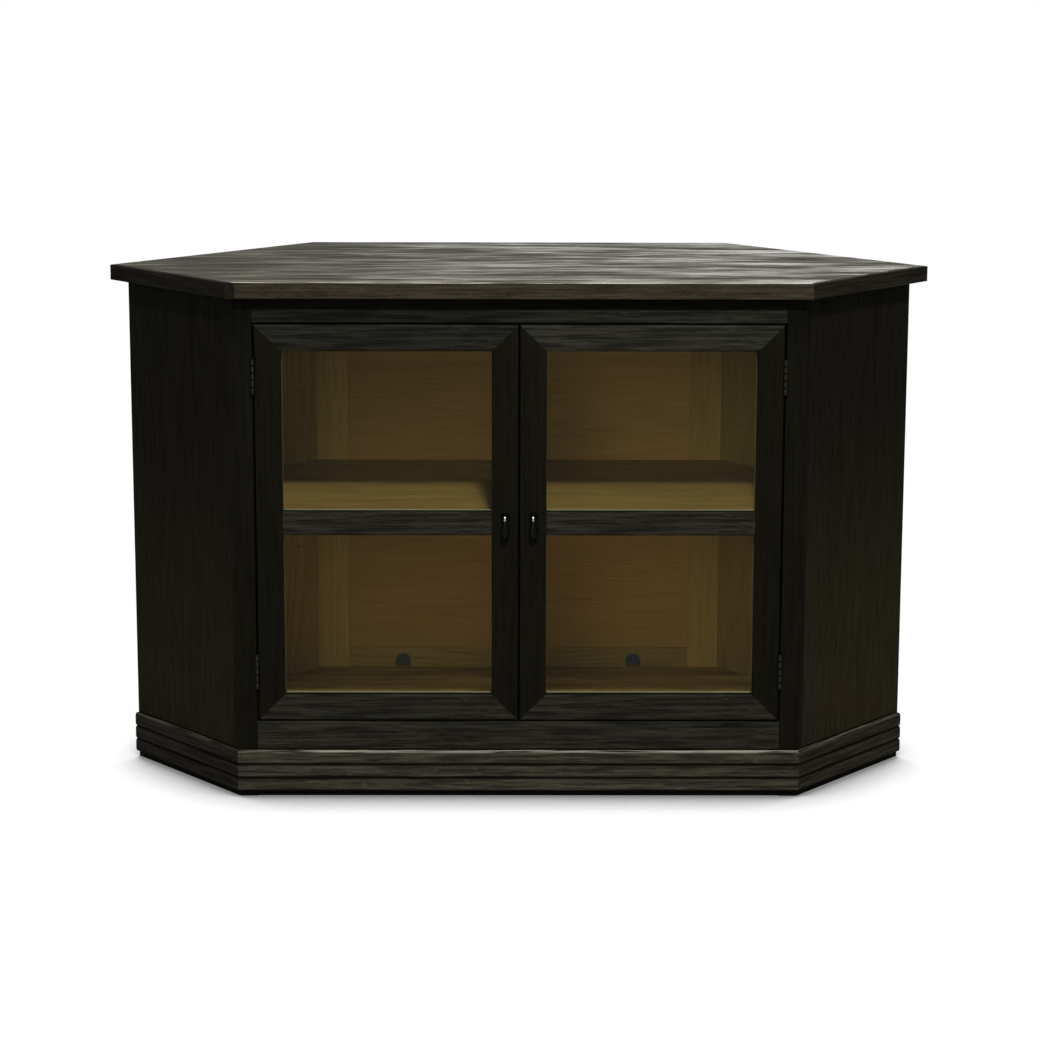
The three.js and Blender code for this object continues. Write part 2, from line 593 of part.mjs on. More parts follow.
// Upper and lower hinge of one door. The pin is fixed in the frame leaf and turns in the other.
function addHinges(hand, door) {
  const levels = { upper: DOOR_TOP - HINGE_FROM_END, lower: DOOR_BOTTOM + HINGE_FROM_END };
  const axis = [hand * HINGE_AXIS_X, HINGE_AXIS_Y];
  const pinLength = HINGE_LENGTH + 2 * HINGE_PIN_TIP;
  Object.entries(levels).forEach(([place, level]) => {
    const name = `${sideName(hand)}_hinge_${place}`;
    const pin = bar(HINGE_PIN_RADIUS, pinLength, [...axis, level - pinLength / 2], [0, 0, 1]);
    const frameLeaf = hingeLeaf(hand, level, OPENING_HALF - LEAF_THICKNESS, 0);
    addPiece(`${name}_frame_leaf`, join(frameLeaf, pin), "steel");
    const bore = bar(KNUCKLE_BORE, pinLength, [...axis, level - pinLength / 2], [0, 0, 1]);
    addPiece(`${name}_door_leaf`, cut(hingeLeaf(hand, level, DOOR_OUTER, 1), bore), "steel", door);
  });
}

function addPull(hand, group) {
  const name = sideName(hand);
  const x = hand * PULL_X;
  const rose = bar(ROSE_RADIUS, ROSE_THICKNESS, [x, 0, PULL_LEVEL], [0, -1, 0], ROUND_STEPS_FINE);
  const cheeks = [LEFT, RIGHT].flatMap((cheek) => {
    const near = x + (cheek * CLEVIS_GAP) / 2;
    const far = near + cheek * CLEVIS_CHEEK;
    return [
      block(near, far, -PULL_STANDOFF, -ROSE_THICKNESS + CLEARANCE,
        PULL_LEVEL - CLEVIS_RADIUS, PULL_LEVEL + CLEVIS_RADIUS),
      bar(CLEVIS_RADIUS, CLEVIS_CHEEK, [near, -PULL_STANDOFF, PULL_LEVEL], [cheek, 0, 0], ROUND_STEPS_FINE),
    ];
  });
  const pinReach = CLEVIS_GAP / 2 + CLEVIS_CHEEK;
  const pin = bar(CLEVIS_PIN_RADIUS, 2 * pinReach - CLEARANCE,
    [x - pinReach + CLEARANCE / 2, -PULL_STANDOFF, PULL_LEVEL], [1, 0, 0]);
  addPiece(`${name}_pull_mount`, join(rose, ...cheeks, pin), "darkBronze", group);

  const at = (radius, below) => new THREE.Vector2(radius, -below);
  const shoulder = new THREE.CubicBezierCurve(at(DROP_NECK, CLEVIS_RADIUS), at(DROP_NECK, DROP_SLIM_TO),
    at(DROP_RADIUS, DROP_SWELL_FROM), at(DROP_RADIUS, DROP_BELLY));
  const tip = new THREE.CubicBezierCurve(at(DROP_RADIUS, DROP_BELLY), at(DROP_RADIUS, DROP_FULL_TO),
    at(DROP_TIP_RADIUS, DROP_LENGTH), at(0, DROP_LENGTH));
  const profile = [
    ...tip.getPoints(DROP_STEPS).reverse(), ...shoulder.getPoints(DROP_STEPS).reverse().slice(1),
    at(DROP_NECK, 0), at(0, 0),
  ];
  const pear = new THREE.LatheGeometry(profile, ROUND_STEPS_FINE).rotateX(Math.PI / 2);
  pear.translate(x, -PULL_STANDOFF, PULL_LEVEL);
  const eye = bar(CLEVIS_RADIUS, EYE_THICKNESS, [x - EYE_THICKNESS / 2, -PULL_STANDOFF, PULL_LEVEL],
    [1, 0, 0], ROUND_STEPS_FINE);
  const bore = bar(EYE_BORE, 2 * EYE_THICKNESS, [x - EYE_THICKNESS, -PULL_STANDOFF, PULL_LEVEL], [1, 0, 0]);
  addPiece(`${name}_pull_drop`, cut(join(pear, eye), bore), "darkBronze", group);
}

// Double magnetic catch behind the top rail, and one steel plate on the back of each door
function addCatch() {
  const magnetY = DOOR_THICKNESS + PLATE_THICKNESS + CLEARANCE;
  const back = FRAME_THICKNESS + CATCH_DEPTH;
  const high = OPENING_TOP + CATCH_ON_RAIL;
  const low = OPENING_TOP - CATCH_BELOW_RAIL;
  const shoulder = block(-CATCH_HALF_WIDTH, CATCH_HALF_WIDTH, FRAME_THICKNESS, back, OPENING_TOP, high);
  const body = block(-CATCH_HALF_WIDTH, CATCH_HALF_WIDTH, magnetY, back, low, high);
  addPiece("door_catch", join(shoulder, body), "blackPlastic");
}

function addCatchPlate(hand, group) {
  const near = CATCH_HALF_WIDTH - PLATE_WIDTH;
  const level = OPENING_TOP - CATCH_BELOW_RAIL;
  addPiece(`${sideName(hand)}_catch_plate`, block(hand * near, hand * CATCH_HALF_WIDTH,
    DOOR_THICKNESS, DOOR_THICKNESS + PLATE_THICKNESS, level, level + PLATE_HEIGHT), "steel", group);
}

addTop();
addFaceFrame();
addSidePanels();
addBack();
addBottomBoard();
addPlinth();
addShelf();
addCatch();
[LEFT, RIGHT].forEach((hand) => {
  const door = new THREE.Group();
  addDoorFrame(hand, door);
  addGlazing(hand, door);
  addHinges(hand, door);
  addCatchPlate(hand, door);
  addPull(hand, door);
  cabinet.add(door);
});

// The finished cabinet is moved so that its origin lies under the middle of the top
cabinet.position.set(0, -DEPTH / 2, 0);

export default cabinet;
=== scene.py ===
"""Looks of a corner television cabinet: open-grained oak, stained almost black outside and left
golden inside, with glazed doors, blackened drop pulls and small steel butt hinges.

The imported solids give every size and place. Boards keep their solid's shape and get eased edges;
mouldings, turned parts and hinge work are surfaces worked out with numpy. Lengths are in metres.
"""

import json
import math

import bmesh
import bpy
import numpy as np
from mathutils import Matrix, Vector

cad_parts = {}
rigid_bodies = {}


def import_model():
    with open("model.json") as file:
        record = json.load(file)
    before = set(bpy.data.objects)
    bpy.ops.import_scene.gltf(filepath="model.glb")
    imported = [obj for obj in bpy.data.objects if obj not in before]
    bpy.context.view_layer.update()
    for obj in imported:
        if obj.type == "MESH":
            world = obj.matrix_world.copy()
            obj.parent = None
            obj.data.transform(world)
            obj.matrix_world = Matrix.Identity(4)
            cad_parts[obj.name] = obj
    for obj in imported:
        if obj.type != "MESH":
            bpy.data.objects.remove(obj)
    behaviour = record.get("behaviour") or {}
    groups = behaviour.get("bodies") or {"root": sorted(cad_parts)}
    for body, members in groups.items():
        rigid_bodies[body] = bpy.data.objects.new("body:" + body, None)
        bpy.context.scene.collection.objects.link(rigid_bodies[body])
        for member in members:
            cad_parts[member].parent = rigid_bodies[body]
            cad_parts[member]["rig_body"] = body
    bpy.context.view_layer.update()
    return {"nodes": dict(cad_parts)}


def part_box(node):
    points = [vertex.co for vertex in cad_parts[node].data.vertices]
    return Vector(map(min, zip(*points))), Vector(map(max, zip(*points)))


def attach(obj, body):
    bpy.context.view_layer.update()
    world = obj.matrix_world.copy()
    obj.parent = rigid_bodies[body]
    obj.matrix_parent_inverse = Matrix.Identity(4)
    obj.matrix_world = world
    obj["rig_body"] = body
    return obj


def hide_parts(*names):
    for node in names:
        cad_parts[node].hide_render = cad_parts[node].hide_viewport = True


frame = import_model()

MM = 0.001
LEFT, RIGHT = -1, 1
SIDES = {"left": LEFT, "right": RIGHT}
PLACES = ("upper", "lower")

# Camera, as worked out from the picture: its own width in pixels, the focal length and the
# optical axis in those pixels, the place in metres and the angles in degrees
PICTURE_WIDTH = 1040
FOCAL_LENGTH_PX = 2367.29
AXIS_PX = (529.33, 330.47)
CAMERA_PLACE = (-0.00711, -3.43823, 1.19372)
CAMERA_PITCH = 9.1827
CAMERA_YAW = 0.36798
CAMERA_ROLL = 0.16315
SENSOR_WIDTH = 36

# Studio: one small softbox near the front, a broad fill beside the camera, a weak lamp behind for
# the cabinet's back, and a dim room
KEY_PLACE = (0.15, -1.95, 2.45)
KEY_AIM = (0, -0.2, 0.42)
KEY_SIZE = 0.22
KEY_POWER = 80
FILL_PLACE = (-0.4, -4.0, 1.8)
FILL_AIM = (0, 0, 0.3)
FILL_SIZE = 1.8
FILL_POWER = 27
REAR_PLACE = (0.9, 3.2, 2.0)
REAR_AIM = (0, 0, 0.5)
REAR_SIZE = 1.6
REAR_POWER = 7
ROOM_LIGHT = 0.06

# Floor: how white it is to the light that it throws back, how white it shows, and the glow that
# makes it white to the camera. It darkens to CONTACT_DARKEST where the base stands close over it.
FLOOR_WHITE = 0.6
FLOOR_SHOWN = 0.1
FLOOR_GLOW = 1.0
FLOOR_REACH = 14
CONTACT_REACH = 0.13
CONTACT_DARKEST = 0.16

# Shade on the floor behind the cabinet. It lies where the cabinet hides most of the half sphere
# round SHADE_FROM, within SHADE_REACH: full below the first open share of SHADE_OPEN, none above
# the second. It ends between the two distances of SHADE_END from SHADE_MIDDLE. The floor keeps
# SHADE_SEEN of its light when seen directly. Through a pane it keeps next to none, so that the
# cable holes look as dark as they do with a wall behind them.
SHADE_FROM = (0, -0.9, 0.44)
SHADE_REACH = 1.4
SHADE_OPEN = (0.66, 0.9)
SHADE_MIDDLE = (0, 0.47, 0)
SHADE_END = (0.36, 0.6)
SHADE_SEEN = 0.4
SHADE_THROUGH_PANE = 0.01

# Widths to which the edges are rounded
EASED = 0.5 * MM
FRAMING_EASED = 2 * MM
TOP_EASED = 0.4 * MM
LIPPING_EASED = 1.2 * MM
SIDE_LIPPING_EASED = 1 * MM
SHELF_EASED = 0.8 * MM
PLATE_EASED = 0.2 * MM
CATCH_EASED = 0.6 * MM

# Widths of the narrow boards that wide panels are glued up from
FRONT_PLANK = 116 * MM
TOP_PLANK = 100 * MM
SIDE_BOARD = 94 * MM
REAR_BOARD = 100 * MM
BACK_BOARD = 120 * MM
FLOOR_BOARD = 100 * MM
SHELF_BOARD = 120 * MM

# Plinth moulding and glazing beads
REED_ROUND = 4.6 * MM
REED_DEPTH = 3.3 * MM
REED_COUNT = 3
BEAD_WIDTH = 8.3 * MM
BEAD_ROUND = 3.8 * MM
BEAD_MITRE = 1.5 * MM

# How close the doors meet at the back of their planed edges, and how far the back edge of a face
# stile leans towards its door
DOOR_MEETING = 0.03 * MM
STILE_LEAN = 0.6 * MM

# Butt hinges: knuckles, pin, leaves and screws
KNUCKLES = 5
KNUCKLE_RADIUS = 3 * MM
KNUCKLE_PLAY = 0.15 * MM
KNUCKLE_RIM = 0.3 * MM
KNUCKLE_COLLAR = 2 * MM
PIN_RADIUS = 1.1 * MM
PIN_TIP = 1.2 * MM
PIN_RIM = 0.5 * MM
LEAF_THICKNESS = 1 * MM
LEAF_OFFSET = 0.25 * MM
LEAF_START = 0.6 * MM
LEAF_STRAP = 0.7 * MM
SCREW_PITCH = 16 * MM
SCREW_BACK = 1 * MM
SCREW_RADIUS = 2.4 * MM
SCREW_RISE = 0.12 * MM
SLOT_HALF = 0.35 * MM
SLOT_TURN = 900

# Drop pulls: the clevis's two cheeks with their pin, and the eye of the pear that hangs on it
PIN_STAND = 8 * MM
CHEEK_GAP = 1.7 * MM
CHEEK_THICKNESS = 1.5 * MM
CHEEK_RADIUS = 3 * MM
CHEEK_FOOT = 1.5 * MM
CHEEK_RIM = 0.3 * MM
CLEVIS_PIN_RADIUS = 1 * MM
CLEVIS_PIN_HALF = 3.05 * MM
CLEVIS_PIN_RIM = 0.2 * MM
EYE_MIDDLE = 2.15 * MM
EYE_HALF_WALL = 0.85 * MM
EYE_HALF_WIDTH = 1.35 * MM
EYE_SQUARENESS = 0.6

# Shelf pins
SHELF_PIN_RADIUS = 2.5 * MM
SHELF_PIN_RIM = 0.6 * MM

# Painted shade in the reeds' grooves, and a painted highlight on the moulding's top edge
GROOVE_SHADE_CORE = 1 * MM
GROOVE_SHADE_FADE = 2.6 * MM
HIGHLIGHT_EDGE = 3 * MM

# Points closer than the first are merged, and edges shorter than the second taken out
MERGE = 2e-6
SHORTEST = 1e-6


def paint(red, green, blue):
    """A colour written as it shows on a screen, 0 to 255, in the linear values that shaders take."""
    shares = np.array([red, green, blue]) / 255
    low = shares / 12.92
    high = ((shares + 0.055) / 1.055) ** 2.4
    return (*(float(share) for share in np.where(shares <= 0.04045, low, high)), 1.0)


def toned(finish, gain):
    """A finish with all its colours lighter or darker by the same factor."""
    return {name: (*(share * gain for share in value[:3]), 1.0) if isinstance(value, tuple) else value
            for name, value in finish.items()}


# Nodes


def node(tree, kind, inputs=None, **settings):
    """One shader node: its settings, then each input as a value or as the socket that feeds it."""
    made = tree.nodes.new("ShaderNode" + kind)
    for name, value in settings.items():
        setattr(made, name, value)
    for name, value in (inputs or {}).items():
        if isinstance(value, bpy.types.NodeSocket):
            tree.links.new(value, made.inputs[name])
        else:
            made.inputs[name].default_value = value
    return made


def calc(tree, operation, *values, clamp=False):
    made = node(tree, "Math", dict(enumerate(values)), operation=operation, use_clamp=clamp)
    return made.outputs[0]


def vector_calc(tree, operation, *values):
    return node(tree, "VectorMath", dict(enumerate(values)), operation=operation).outputs[0]


def step_between(tree, value, low, high):
    """A soft step: 0 below low, 1 above high."""
    made = node(tree, "MapRange", {"Value": value, "From Min": low, "From Max": high},
                interpolation_type="SMOOTHSTEP")
    return made.outputs["Result"]


def spread(tree, value, low, high):
    """A value from 0 to 1, laid out between two others."""
    made = node(tree, "MapRange", {"Value": value, "To Min": low, "To Max": high})
    return made.outputs["Result"]


def object_place(tree):
    """The place of the shaded point, which is also its place in the cabinet."""
    return node(tree, "TexCoord").outputs["Object"]


def mask(tree, name):
    """A share from 0 to 1 that the mesh carries at its points or faces."""
    made = node(tree, "Attribute", attribute_name=name, attribute_type="GEOMETRY")
    return made.outputs["Fac"]


def blend(tree, share, first, second):
    """The first colour at a share of 0, the second at 1."""
    made = node(tree, "Mix", {0: share, 6: first, 7: second}, data_type="RGBA")
    return made.outputs[2]


def noise(tree, vector, stretch, detail=2.0, roughness=0.5):
    """Noise whose cells are 1/stretch metres long on each axis."""
    scaled = vector_calc(tree, "MULTIPLY", vector, stretch)
    return node(tree, "TexNoise", {"Vector": scaled, "Scale": 1.0, "Detail": detail,
                                   "Roughness": roughness})


def group_tree(name, inputs, outputs):
    """An empty shader group with named sockets. Inputs are name: (kind, default)."""
    tree = bpy.data.node_groups.new(name, "ShaderNodeTree")
    for socket, (kind, default) in inputs.items():
        made = tree.interface.new_socket(name=socket, in_out="INPUT", socket_type="NodeSocket" + kind)
        if default is not None:
            made.default_value = default
    for socket, kind in outputs.items():
        tree.interface.new_socket(name=socket, in_out="OUTPUT", socket_type="NodeSocket" + kind)
    return tree, tree.nodes.new("NodeGroupInput").outputs, tree.nodes.new("NodeGroupOutput").inputs


def group_node(tree, group, inputs):
    made = tree.nodes.new("ShaderNodeGroup")
    made.node_tree = group
    for name, value in inputs.items():
        if isinstance(value, bpy.types.NodeSocket):
            tree.links.new(value, made.inputs[name])
        else:
            made.inputs[name].default_value = value
    return made.outputs


def feed(tree, outputs, **values):
    for name, value in values.items():
        tree.links.new(value, outputs[name])


def glued_boards_group():
    """A wide panel is glued up from narrow boards: each gets its own stretch of grain and tone.
    The board's number is the whole part of the distance across over the board width."""
    tree, given, out = group_tree(
        "glued boards",
        {"Vector": ("Vector", None), "First Edge": ("Float", 0.0), "Board Width": ("Float", 0.1)},
        {"Vector": "Vector", "Tone": "Float"})
    place = node(tree, "SeparateXYZ", {"Vector": given["Vector"]}).outputs
    across = calc(tree, "SUBTRACT", place["Y"], given["First Edge"])
    count = calc(tree, "DIVIDE", across, given["Board Width"])
    number = calc(tree, "FLOOR", count)
    within = calc(tree, "SUBTRACT", calc(tree, "SUBTRACT", count, number), 0.5)
    local = calc(tree, "MULTIPLY", within, given["Board Width"])
    chance = node(tree, "TexWhiteNoise", {"W": calc(tree, "ADD", number, 3.7)},
                  noise_dimensions="1D").outputs
    shift = vector_calc(tree, "MULTIPLY", chance["Color"], (3.0, 0.07, 0.09))
    moved = node(tree, "CombineXYZ", {"X": place["X"], "Y": local, "Z": place["Z"]}).outputs[0]
    feed(tree, out, Vector=vector_calc(tree, "ADD", moved, shift), Tone=chance["Value"])
    return tree


def oak_grain_group():
    """Oak as a solid: growth rings are shells round a pith that runs beside the board, so every
    face shows its own cut through them. Ring place is the distance from the pith over the ring
    width. Pores are long thin cells, thickest at the start of a ring."""
    tree, given, out = group_tree(
        "oak grain",
        {"Vector": ("Vector", None), "Pith": ("Vector", (0.0, 0.1, 0.05)),
         "Lean": ("Float", 0.02), "Ring Width": ("Float", 0.0026)},
        {"Rings": "Float", "Pores": "Float", "Fibres": "Float", "Streaks": "Float",
         "Rays": "Float", "Cloud": "Float", "Bands": "Float"})
    board = given["Vector"]
    wander = vector_calc(tree, "SUBTRACT", noise(tree, board, (1.4, 8, 8), 1.5).outputs["Color"],
                         (0.5, 0.5, 0.5))
    waver = vector_calc(tree, "SUBTRACT", noise(tree, board, (11, 70, 70), 1).outputs["Color"],
                        (0.5, 0.5, 0.5))
    bent = vector_calc(tree, "ADD", board, vector_calc(tree, "MULTIPLY", wander, (0, 0.024, 0.024)))
    bent = vector_calc(tree, "ADD", bent, vector_calc(tree, "MULTIPLY", waver, (0, 0.0016, 0.0016)))
    from_pith = vector_calc(tree, "ADD", bent, given["Pith"])
    place = node(tree, "SeparateXYZ", {"Vector": from_pith}).outputs
    leaned = calc(tree, "ADD", place["Y"], calc(tree, "MULTIPLY", place["X"], given["Lean"]))
    radius = calc(tree, "SQRT", calc(tree, "ADD", calc(tree, "MULTIPLY", leaned, leaned),
                                     calc(tree, "MULTIPLY", place["Z"], place["Z"])))
    uneven = node(tree, "TexNoise", {"W": calc(tree, "MULTIPLY", radius, 90.0), "Scale": 1.0,
                                     "Detail": 1.0}, noise_dimensions="1D").outputs[0]
    years = calc(tree, "ADD", calc(tree, "DIVIDE", radius, given["Ring Width"]),
                 calc(tree, "MULTIPLY", uneven, 2.2))
    season = calc(tree, "FRACT", years)
    late = calc(tree, "MULTIPLY", step_between(tree, season, 0.12, 0.9),
                calc(tree, "SUBTRACT", 1.0, step_between(tree, season, 0.94, 1.0)))
    early = calc(tree, "SUBTRACT", 1.0, step_between(tree, season, 0.1, 0.5))
    cells = noise(tree, board, (50, 1100, 1100), 1.0).outputs[0]
    pores = calc(tree, "MULTIPLY", step_between(tree, cells, 0.54, 0.66),
                 spread(tree, early, 0.3, 1.0))
    fibres = noise(tree, board, (32, 560, 560), 3, 0.6).outputs[0]
    streaks = noise(tree, board, (12, 250, 250), 4, 0.62).outputs[0]
    rays = step_between(tree, noise(tree, board, (60, 130, 900), 1.0).outputs[0], 0.63, 0.75)
    cloud = noise(tree, board, (2.4, 9, 9), 3, 0.55).outputs[0]
    bands = noise(tree, board, (5, 42, 42), 3, 0.6).outputs[0]
    feed(tree, out, Rings=late, Pores=pores, Fibres=fibres, Streaks=streaks, Rays=rays, Cloud=cloud,
         Bands=bands)
    return tree


def oak_finish_group():
    """What a finish makes of the grain: ground and ring colours, pores that hold the stain,
    lighter ridges that stand between them, darker and duller or lighter and smoother bands,
    painted shade in the pore colour where the mesh marks it, and a painted highlight where it marks one."""
    tree, given, out = group_tree(
        "oak finish",
        {"Rings": ("Float", 0.0), "Pores": ("Float", 0.0), "Fibres": ("Float", 0.5),
         "Streaks": ("Float", 0.5), "Rays": ("Float", 0.0), "Cloud": ("Float", 0.5),
         "Bands": ("Float", 0.5), "Band Spread": ("Float", 0.0), "Board Tone": ("Float", 0.5),
         "Painted Highlight": ("Float", 0.0), "Painted Shade": ("Float", 0.0),
         "Ground": ("Color", None), "Late": ("Color", None), "Ridge": ("Color", None),
         "Pore": ("Color", None), "Highlight Colour": ("Color", None),
         "Ridge Share": ("Float", 0.5), "Pore Share": ("Float", 0.8), "Tone Spread": ("Float", 0.2),
         "Highlight Share": ("Float", 0.4), "Smoothest": ("Float", 0.45), "Roughest": ("Float", 0.65)},
        {"Color": "Color", "Roughness": "Float", "Height": "Float"})
    colour = blend(tree, calc(tree, "MULTIPLY", given["Rings"], 0.8), given["Ground"], given["Late"])
    lifted = step_between(tree, given["Streaks"], 0.38, 0.66)
    sunk = calc(tree, "SUBTRACT", 1.0, step_between(tree, given["Streaks"], 0.3, 0.43))
    standing = calc(tree, "MULTIPLY", lifted, spread(tree, given["Fibres"], 0.3, 1.3))
    ridge = calc(tree, "MULTIPLY", standing, given["Ridge Share"], clamp=True)
    colour = blend(tree, ridge, colour, given["Ridge"])
    ray_share = calc(tree, "MULTIPLY", given["Ridge Share"], 0.5)
    colour = blend(tree, calc(tree, "MULTIPLY", given["Rays"], ray_share), colour, given["Ridge"])
    dark = calc(tree, "MAXIMUM", given["Pores"], calc(tree, "MULTIPLY", sunk, 0.8))
    colour = blend(tree, calc(tree, "MULTIPLY", dark, given["Pore Share"]), colour, given["Pore"])
    colour = blend(tree, calc(tree, "MULTIPLY", given["Painted Shade"], 0.92), colour, given["Pore"])
    tone = calc(tree, "ADD", calc(tree, "MULTIPLY", calc(tree, "SUBTRACT", given["Cloud"], 0.5), 2.0),
                calc(tree, "SUBTRACT", given["Board Tone"], 0.5))
    tone = calc(tree, "ADD", tone, calc(tree, "SUBTRACT", given["Fibres"], 0.5))
    gain = calc(tree, "ADD", 1.0, calc(tree, "MULTIPLY", tone, given["Tone Spread"]))
    band = spread(tree, step_between(tree, given["Bands"], 0.34, 0.68), -1.0, 1.0)
    band_gain = calc(tree, "ADD", 1.0, calc(tree, "MULTIPLY", band, given["Band Spread"]))
    gain = calc(tree, "MULTIPLY", gain, band_gain)
    colour = node(tree, "VectorMath", {0: colour, "Scale": gain}, operation="SCALE").outputs[0]
    highlight_share = calc(tree, "MULTIPLY", step_between(tree, given["Streaks"], 0.38, 0.6), given["Highlight Share"])
    colour = blend(tree, calc(tree, "MULTIPLY", given["Painted Highlight"], highlight_share), colour, given["Highlight Colour"])
    rough = calc(tree, "ADD", calc(tree, "MULTIPLY", given["Fibres"], 0.4),
                 calc(tree, "MULTIPLY", calc(tree, "SUBTRACT", 1.0, lifted), 0.6))
    smoother = calc(tree, "MULTIPLY", band, calc(tree, "MULTIPLY", given["Band Spread"], 0.5))
    rough = calc(tree, "SUBTRACT", rough, smoother, clamp=True)
    reach = calc(tree, "SUBTRACT", given["Roughest"], given["Smoothest"])
    roughness = calc(tree, "ADD", given["Smoothest"], calc(tree, "MULTIPLY", rough, reach))
    height = calc(tree, "SUBTRACT", calc(tree, "ADD", calc(tree, "MULTIPLY", given["Rings"], 0.35),
                                         calc(tree, "MULTIPLY", given["Fibres"], 0.5)), given["Pores"])
    feed(tree, out, Color=colour, Roughness=roughness, Height=height)
    return tree


GLUED_BOARDS = glued_boards_group()
OAK_GRAIN = oak_grain_group()
OAK_FINISH = oak_finish_group()

# Finishes. The stain is nearly black in the ground and greyer where the grain stands up. The rails,
# the front lipping, the plinth and the top are painted lighter, with brighter ridges, as painted
# sheen: the glints that grain running across catches from the lamp above. A finish named for a place
# is what the one before it turns into there. The bright one is the right door's top rail.
STAIN_UPRIGHT = {
    "Ground": paint(13, 12, 7), "Late": paint(15, 14, 9), "Ridge": paint(21, 20, 13),
    "Pore": paint(6, 6, 3), "Highlight Colour": paint(38, 37, 31), "Ridge Share": 0.5, "Pore Share": 0.5,
    "Tone Spread": 0.3, "Highlight Share": 0.5, "Smoothest": 0.5, "Roughest": 0.8}
# Painted shade: the face stiles are painted darker towards their tops, under the top.
STAIN_UPRIGHT_PAINTED_SHADE = toned(STAIN_UPRIGHT, 0.5)
STAIN_RAIL = {
    "Ground": paint(23, 22, 17), "Late": paint(28, 27, 22), "Ridge": paint(51, 49, 41),
    "Pore": paint(10, 10, 7), "Highlight Colour": paint(76, 72, 62), "Ridge Share": 0.85, "Pore Share": 0.7,
    "Tone Spread": 0.35, "Highlight Share": 0.5, "Smoothest": 0.5, "Roughest": 0.8}
# Painted shade: the top rails are painted darker than the other rails, the face top rail darker still
# towards the left; the right door's top rail is painted lighter, as painted light.
STAIN_TOP_RAIL = dict(STAIN_RAIL, **{
    "Ground": paint(17, 17, 13), "Late": paint(21, 20, 16), "Ridge": paint(42, 41, 35)})
STAIN_TOP_RAIL_PAINTED_SHADE_LEFT = toned(STAIN_TOP_RAIL, 0.62)
STAIN_TOP_RAIL_PAINTED_LIGHT = toned(STAIN_TOP_RAIL, 1.5)
STAIN_PLINTH = dict(STAIN_RAIL, **{
    "Ground": paint(36, 33, 27), "Late": paint(44, 41, 33), "Ridge": paint(74, 70, 60),
    "Pore": paint(9, 8, 4), "Highlight Colour": paint(150, 145, 132), "Highlight Share": 1.0})
STAIN_EDGE = dict(STAIN_RAIL, **{
    "Ground": paint(36, 33, 25), "Late": paint(42, 38, 30), "Ridge": paint(59, 54, 43),
    "Pore": paint(18, 16, 10), "Highlight Colour": paint(232, 226, 206), "Highlight Share": 1.0})
# Painted sheen: the top is painted far lighter than the stain, with lighter ridges and bands, for the
# sheen it shows at a low angle, and darker towards the left, where that sheen fades.
STAIN_TOP = {
    "Ground": paint(50, 47, 37), "Late": paint(60, 57, 46), "Ridge": paint(118, 114, 98),
    "Pore": paint(20, 18, 13), "Highlight Colour": paint(140, 134, 116), "Ridge Share": 0.8, "Pore Share": 0.6,
    "Tone Spread": 0.3, "Band Spread": 0.8, "Highlight Share": 0.9, "Smoothest": 0.2, "Roughest": 0.9}
STAIN_TOP_LEFT_PAINTED_SHADE = dict(toned(STAIN_TOP, 0.6), **{
    "Band Spread": 0.5, "Smoothest": 0.6, "Roughest": 1.0})
STAIN_SIDE = {
    "Ground": paint(12, 11, 7), "Late": paint(14, 13, 8), "Ridge": paint(21, 19, 12),
    "Pore": paint(6, 5, 3), "Highlight Colour": paint(34, 32, 24), "Ridge Share": 0.4, "Pore Share": 0.5,
    "Tone Spread": 0.12, "Highlight Share": 0.4, "Smoothest": 0.55, "Roughest": 0.8}
# Painted light: the sides are painted lighter towards their foot, for light thrown up from the floor.
STAIN_SIDE_PAINTED_BOUNCE = dict(STAIN_SIDE, **{
    "Ground": paint(30, 26, 16), "Late": paint(34, 30, 19), "Ridge": paint(43, 38, 25),
    "Pore": paint(17, 14, 8)})
# Painted shade: the plinth and lippings on the diagonal sides are painted darker than at the front.
STAIN_PLINTH_SIDE_PAINTED_SHADE = dict(STAIN_PLINTH, **{
    "Ground": paint(26, 24, 18), "Late": paint(32, 29, 23), "Ridge": paint(52, 48, 40),
    "Highlight Colour": paint(76, 72, 62)})
STAIN_EDGE_SIDE_PAINTED_SHADE = dict(STAIN_EDGE, **{
    "Ground": paint(26, 24, 18), "Late": paint(31, 29, 22), "Ridge": paint(44, 41, 33),
    "Highlight Colour": paint(84, 80, 68)})
GOLDEN = {
    "Ground": paint(155, 129, 62), "Late": paint(137, 110, 50), "Ridge": paint(173, 147, 77),
    "Pore": paint(92, 70, 29), "Highlight Colour": paint(100, 78, 36), "Ridge Share": 0.35, "Pore Share": 0.4,
    "Tone Spread": 0.16, "Highlight Share": 0.3, "Smoothest": 0.5, "Roughest": 0.65}
# Painted light and shade: the golden copies for the shelf, back stile, back panel and floor board differ
# in lightness to even out the light inside. The shelf, which the lamp lights, is painted darker, and the
# others, in shade, lighter.
GOLDEN_SHELF = dict(GOLDEN, **{
    "Ground": paint(102, 83, 37), "Late": paint(88, 70, 30), "Ridge": paint(118, 98, 48),
    "Pore": paint(70, 53, 22), "Pore Share": 0.6, "Tone Spread": 0.2, "Band Spread": 0.12})
# Painted light: the shelf is painted lighter behind the strip that the lamp lights.
GOLDEN_SHELF_PAINTED_LIGHT = toned(GOLDEN_SHELF, 2.5)
GOLDEN_STILE = dict(GOLDEN, **{
    "Ground": paint(180, 149, 70), "Late": paint(162, 130, 58), "Ridge": paint(196, 166, 85)})
GOLDEN_PANEL = dict(GOLDEN, **{
    "Ground": paint(162, 125, 59), "Late": paint(153, 117, 54), "Ridge": paint(174, 137, 68),
    "Pore": paint(116, 88, 41), "Pore Share": 0.3})
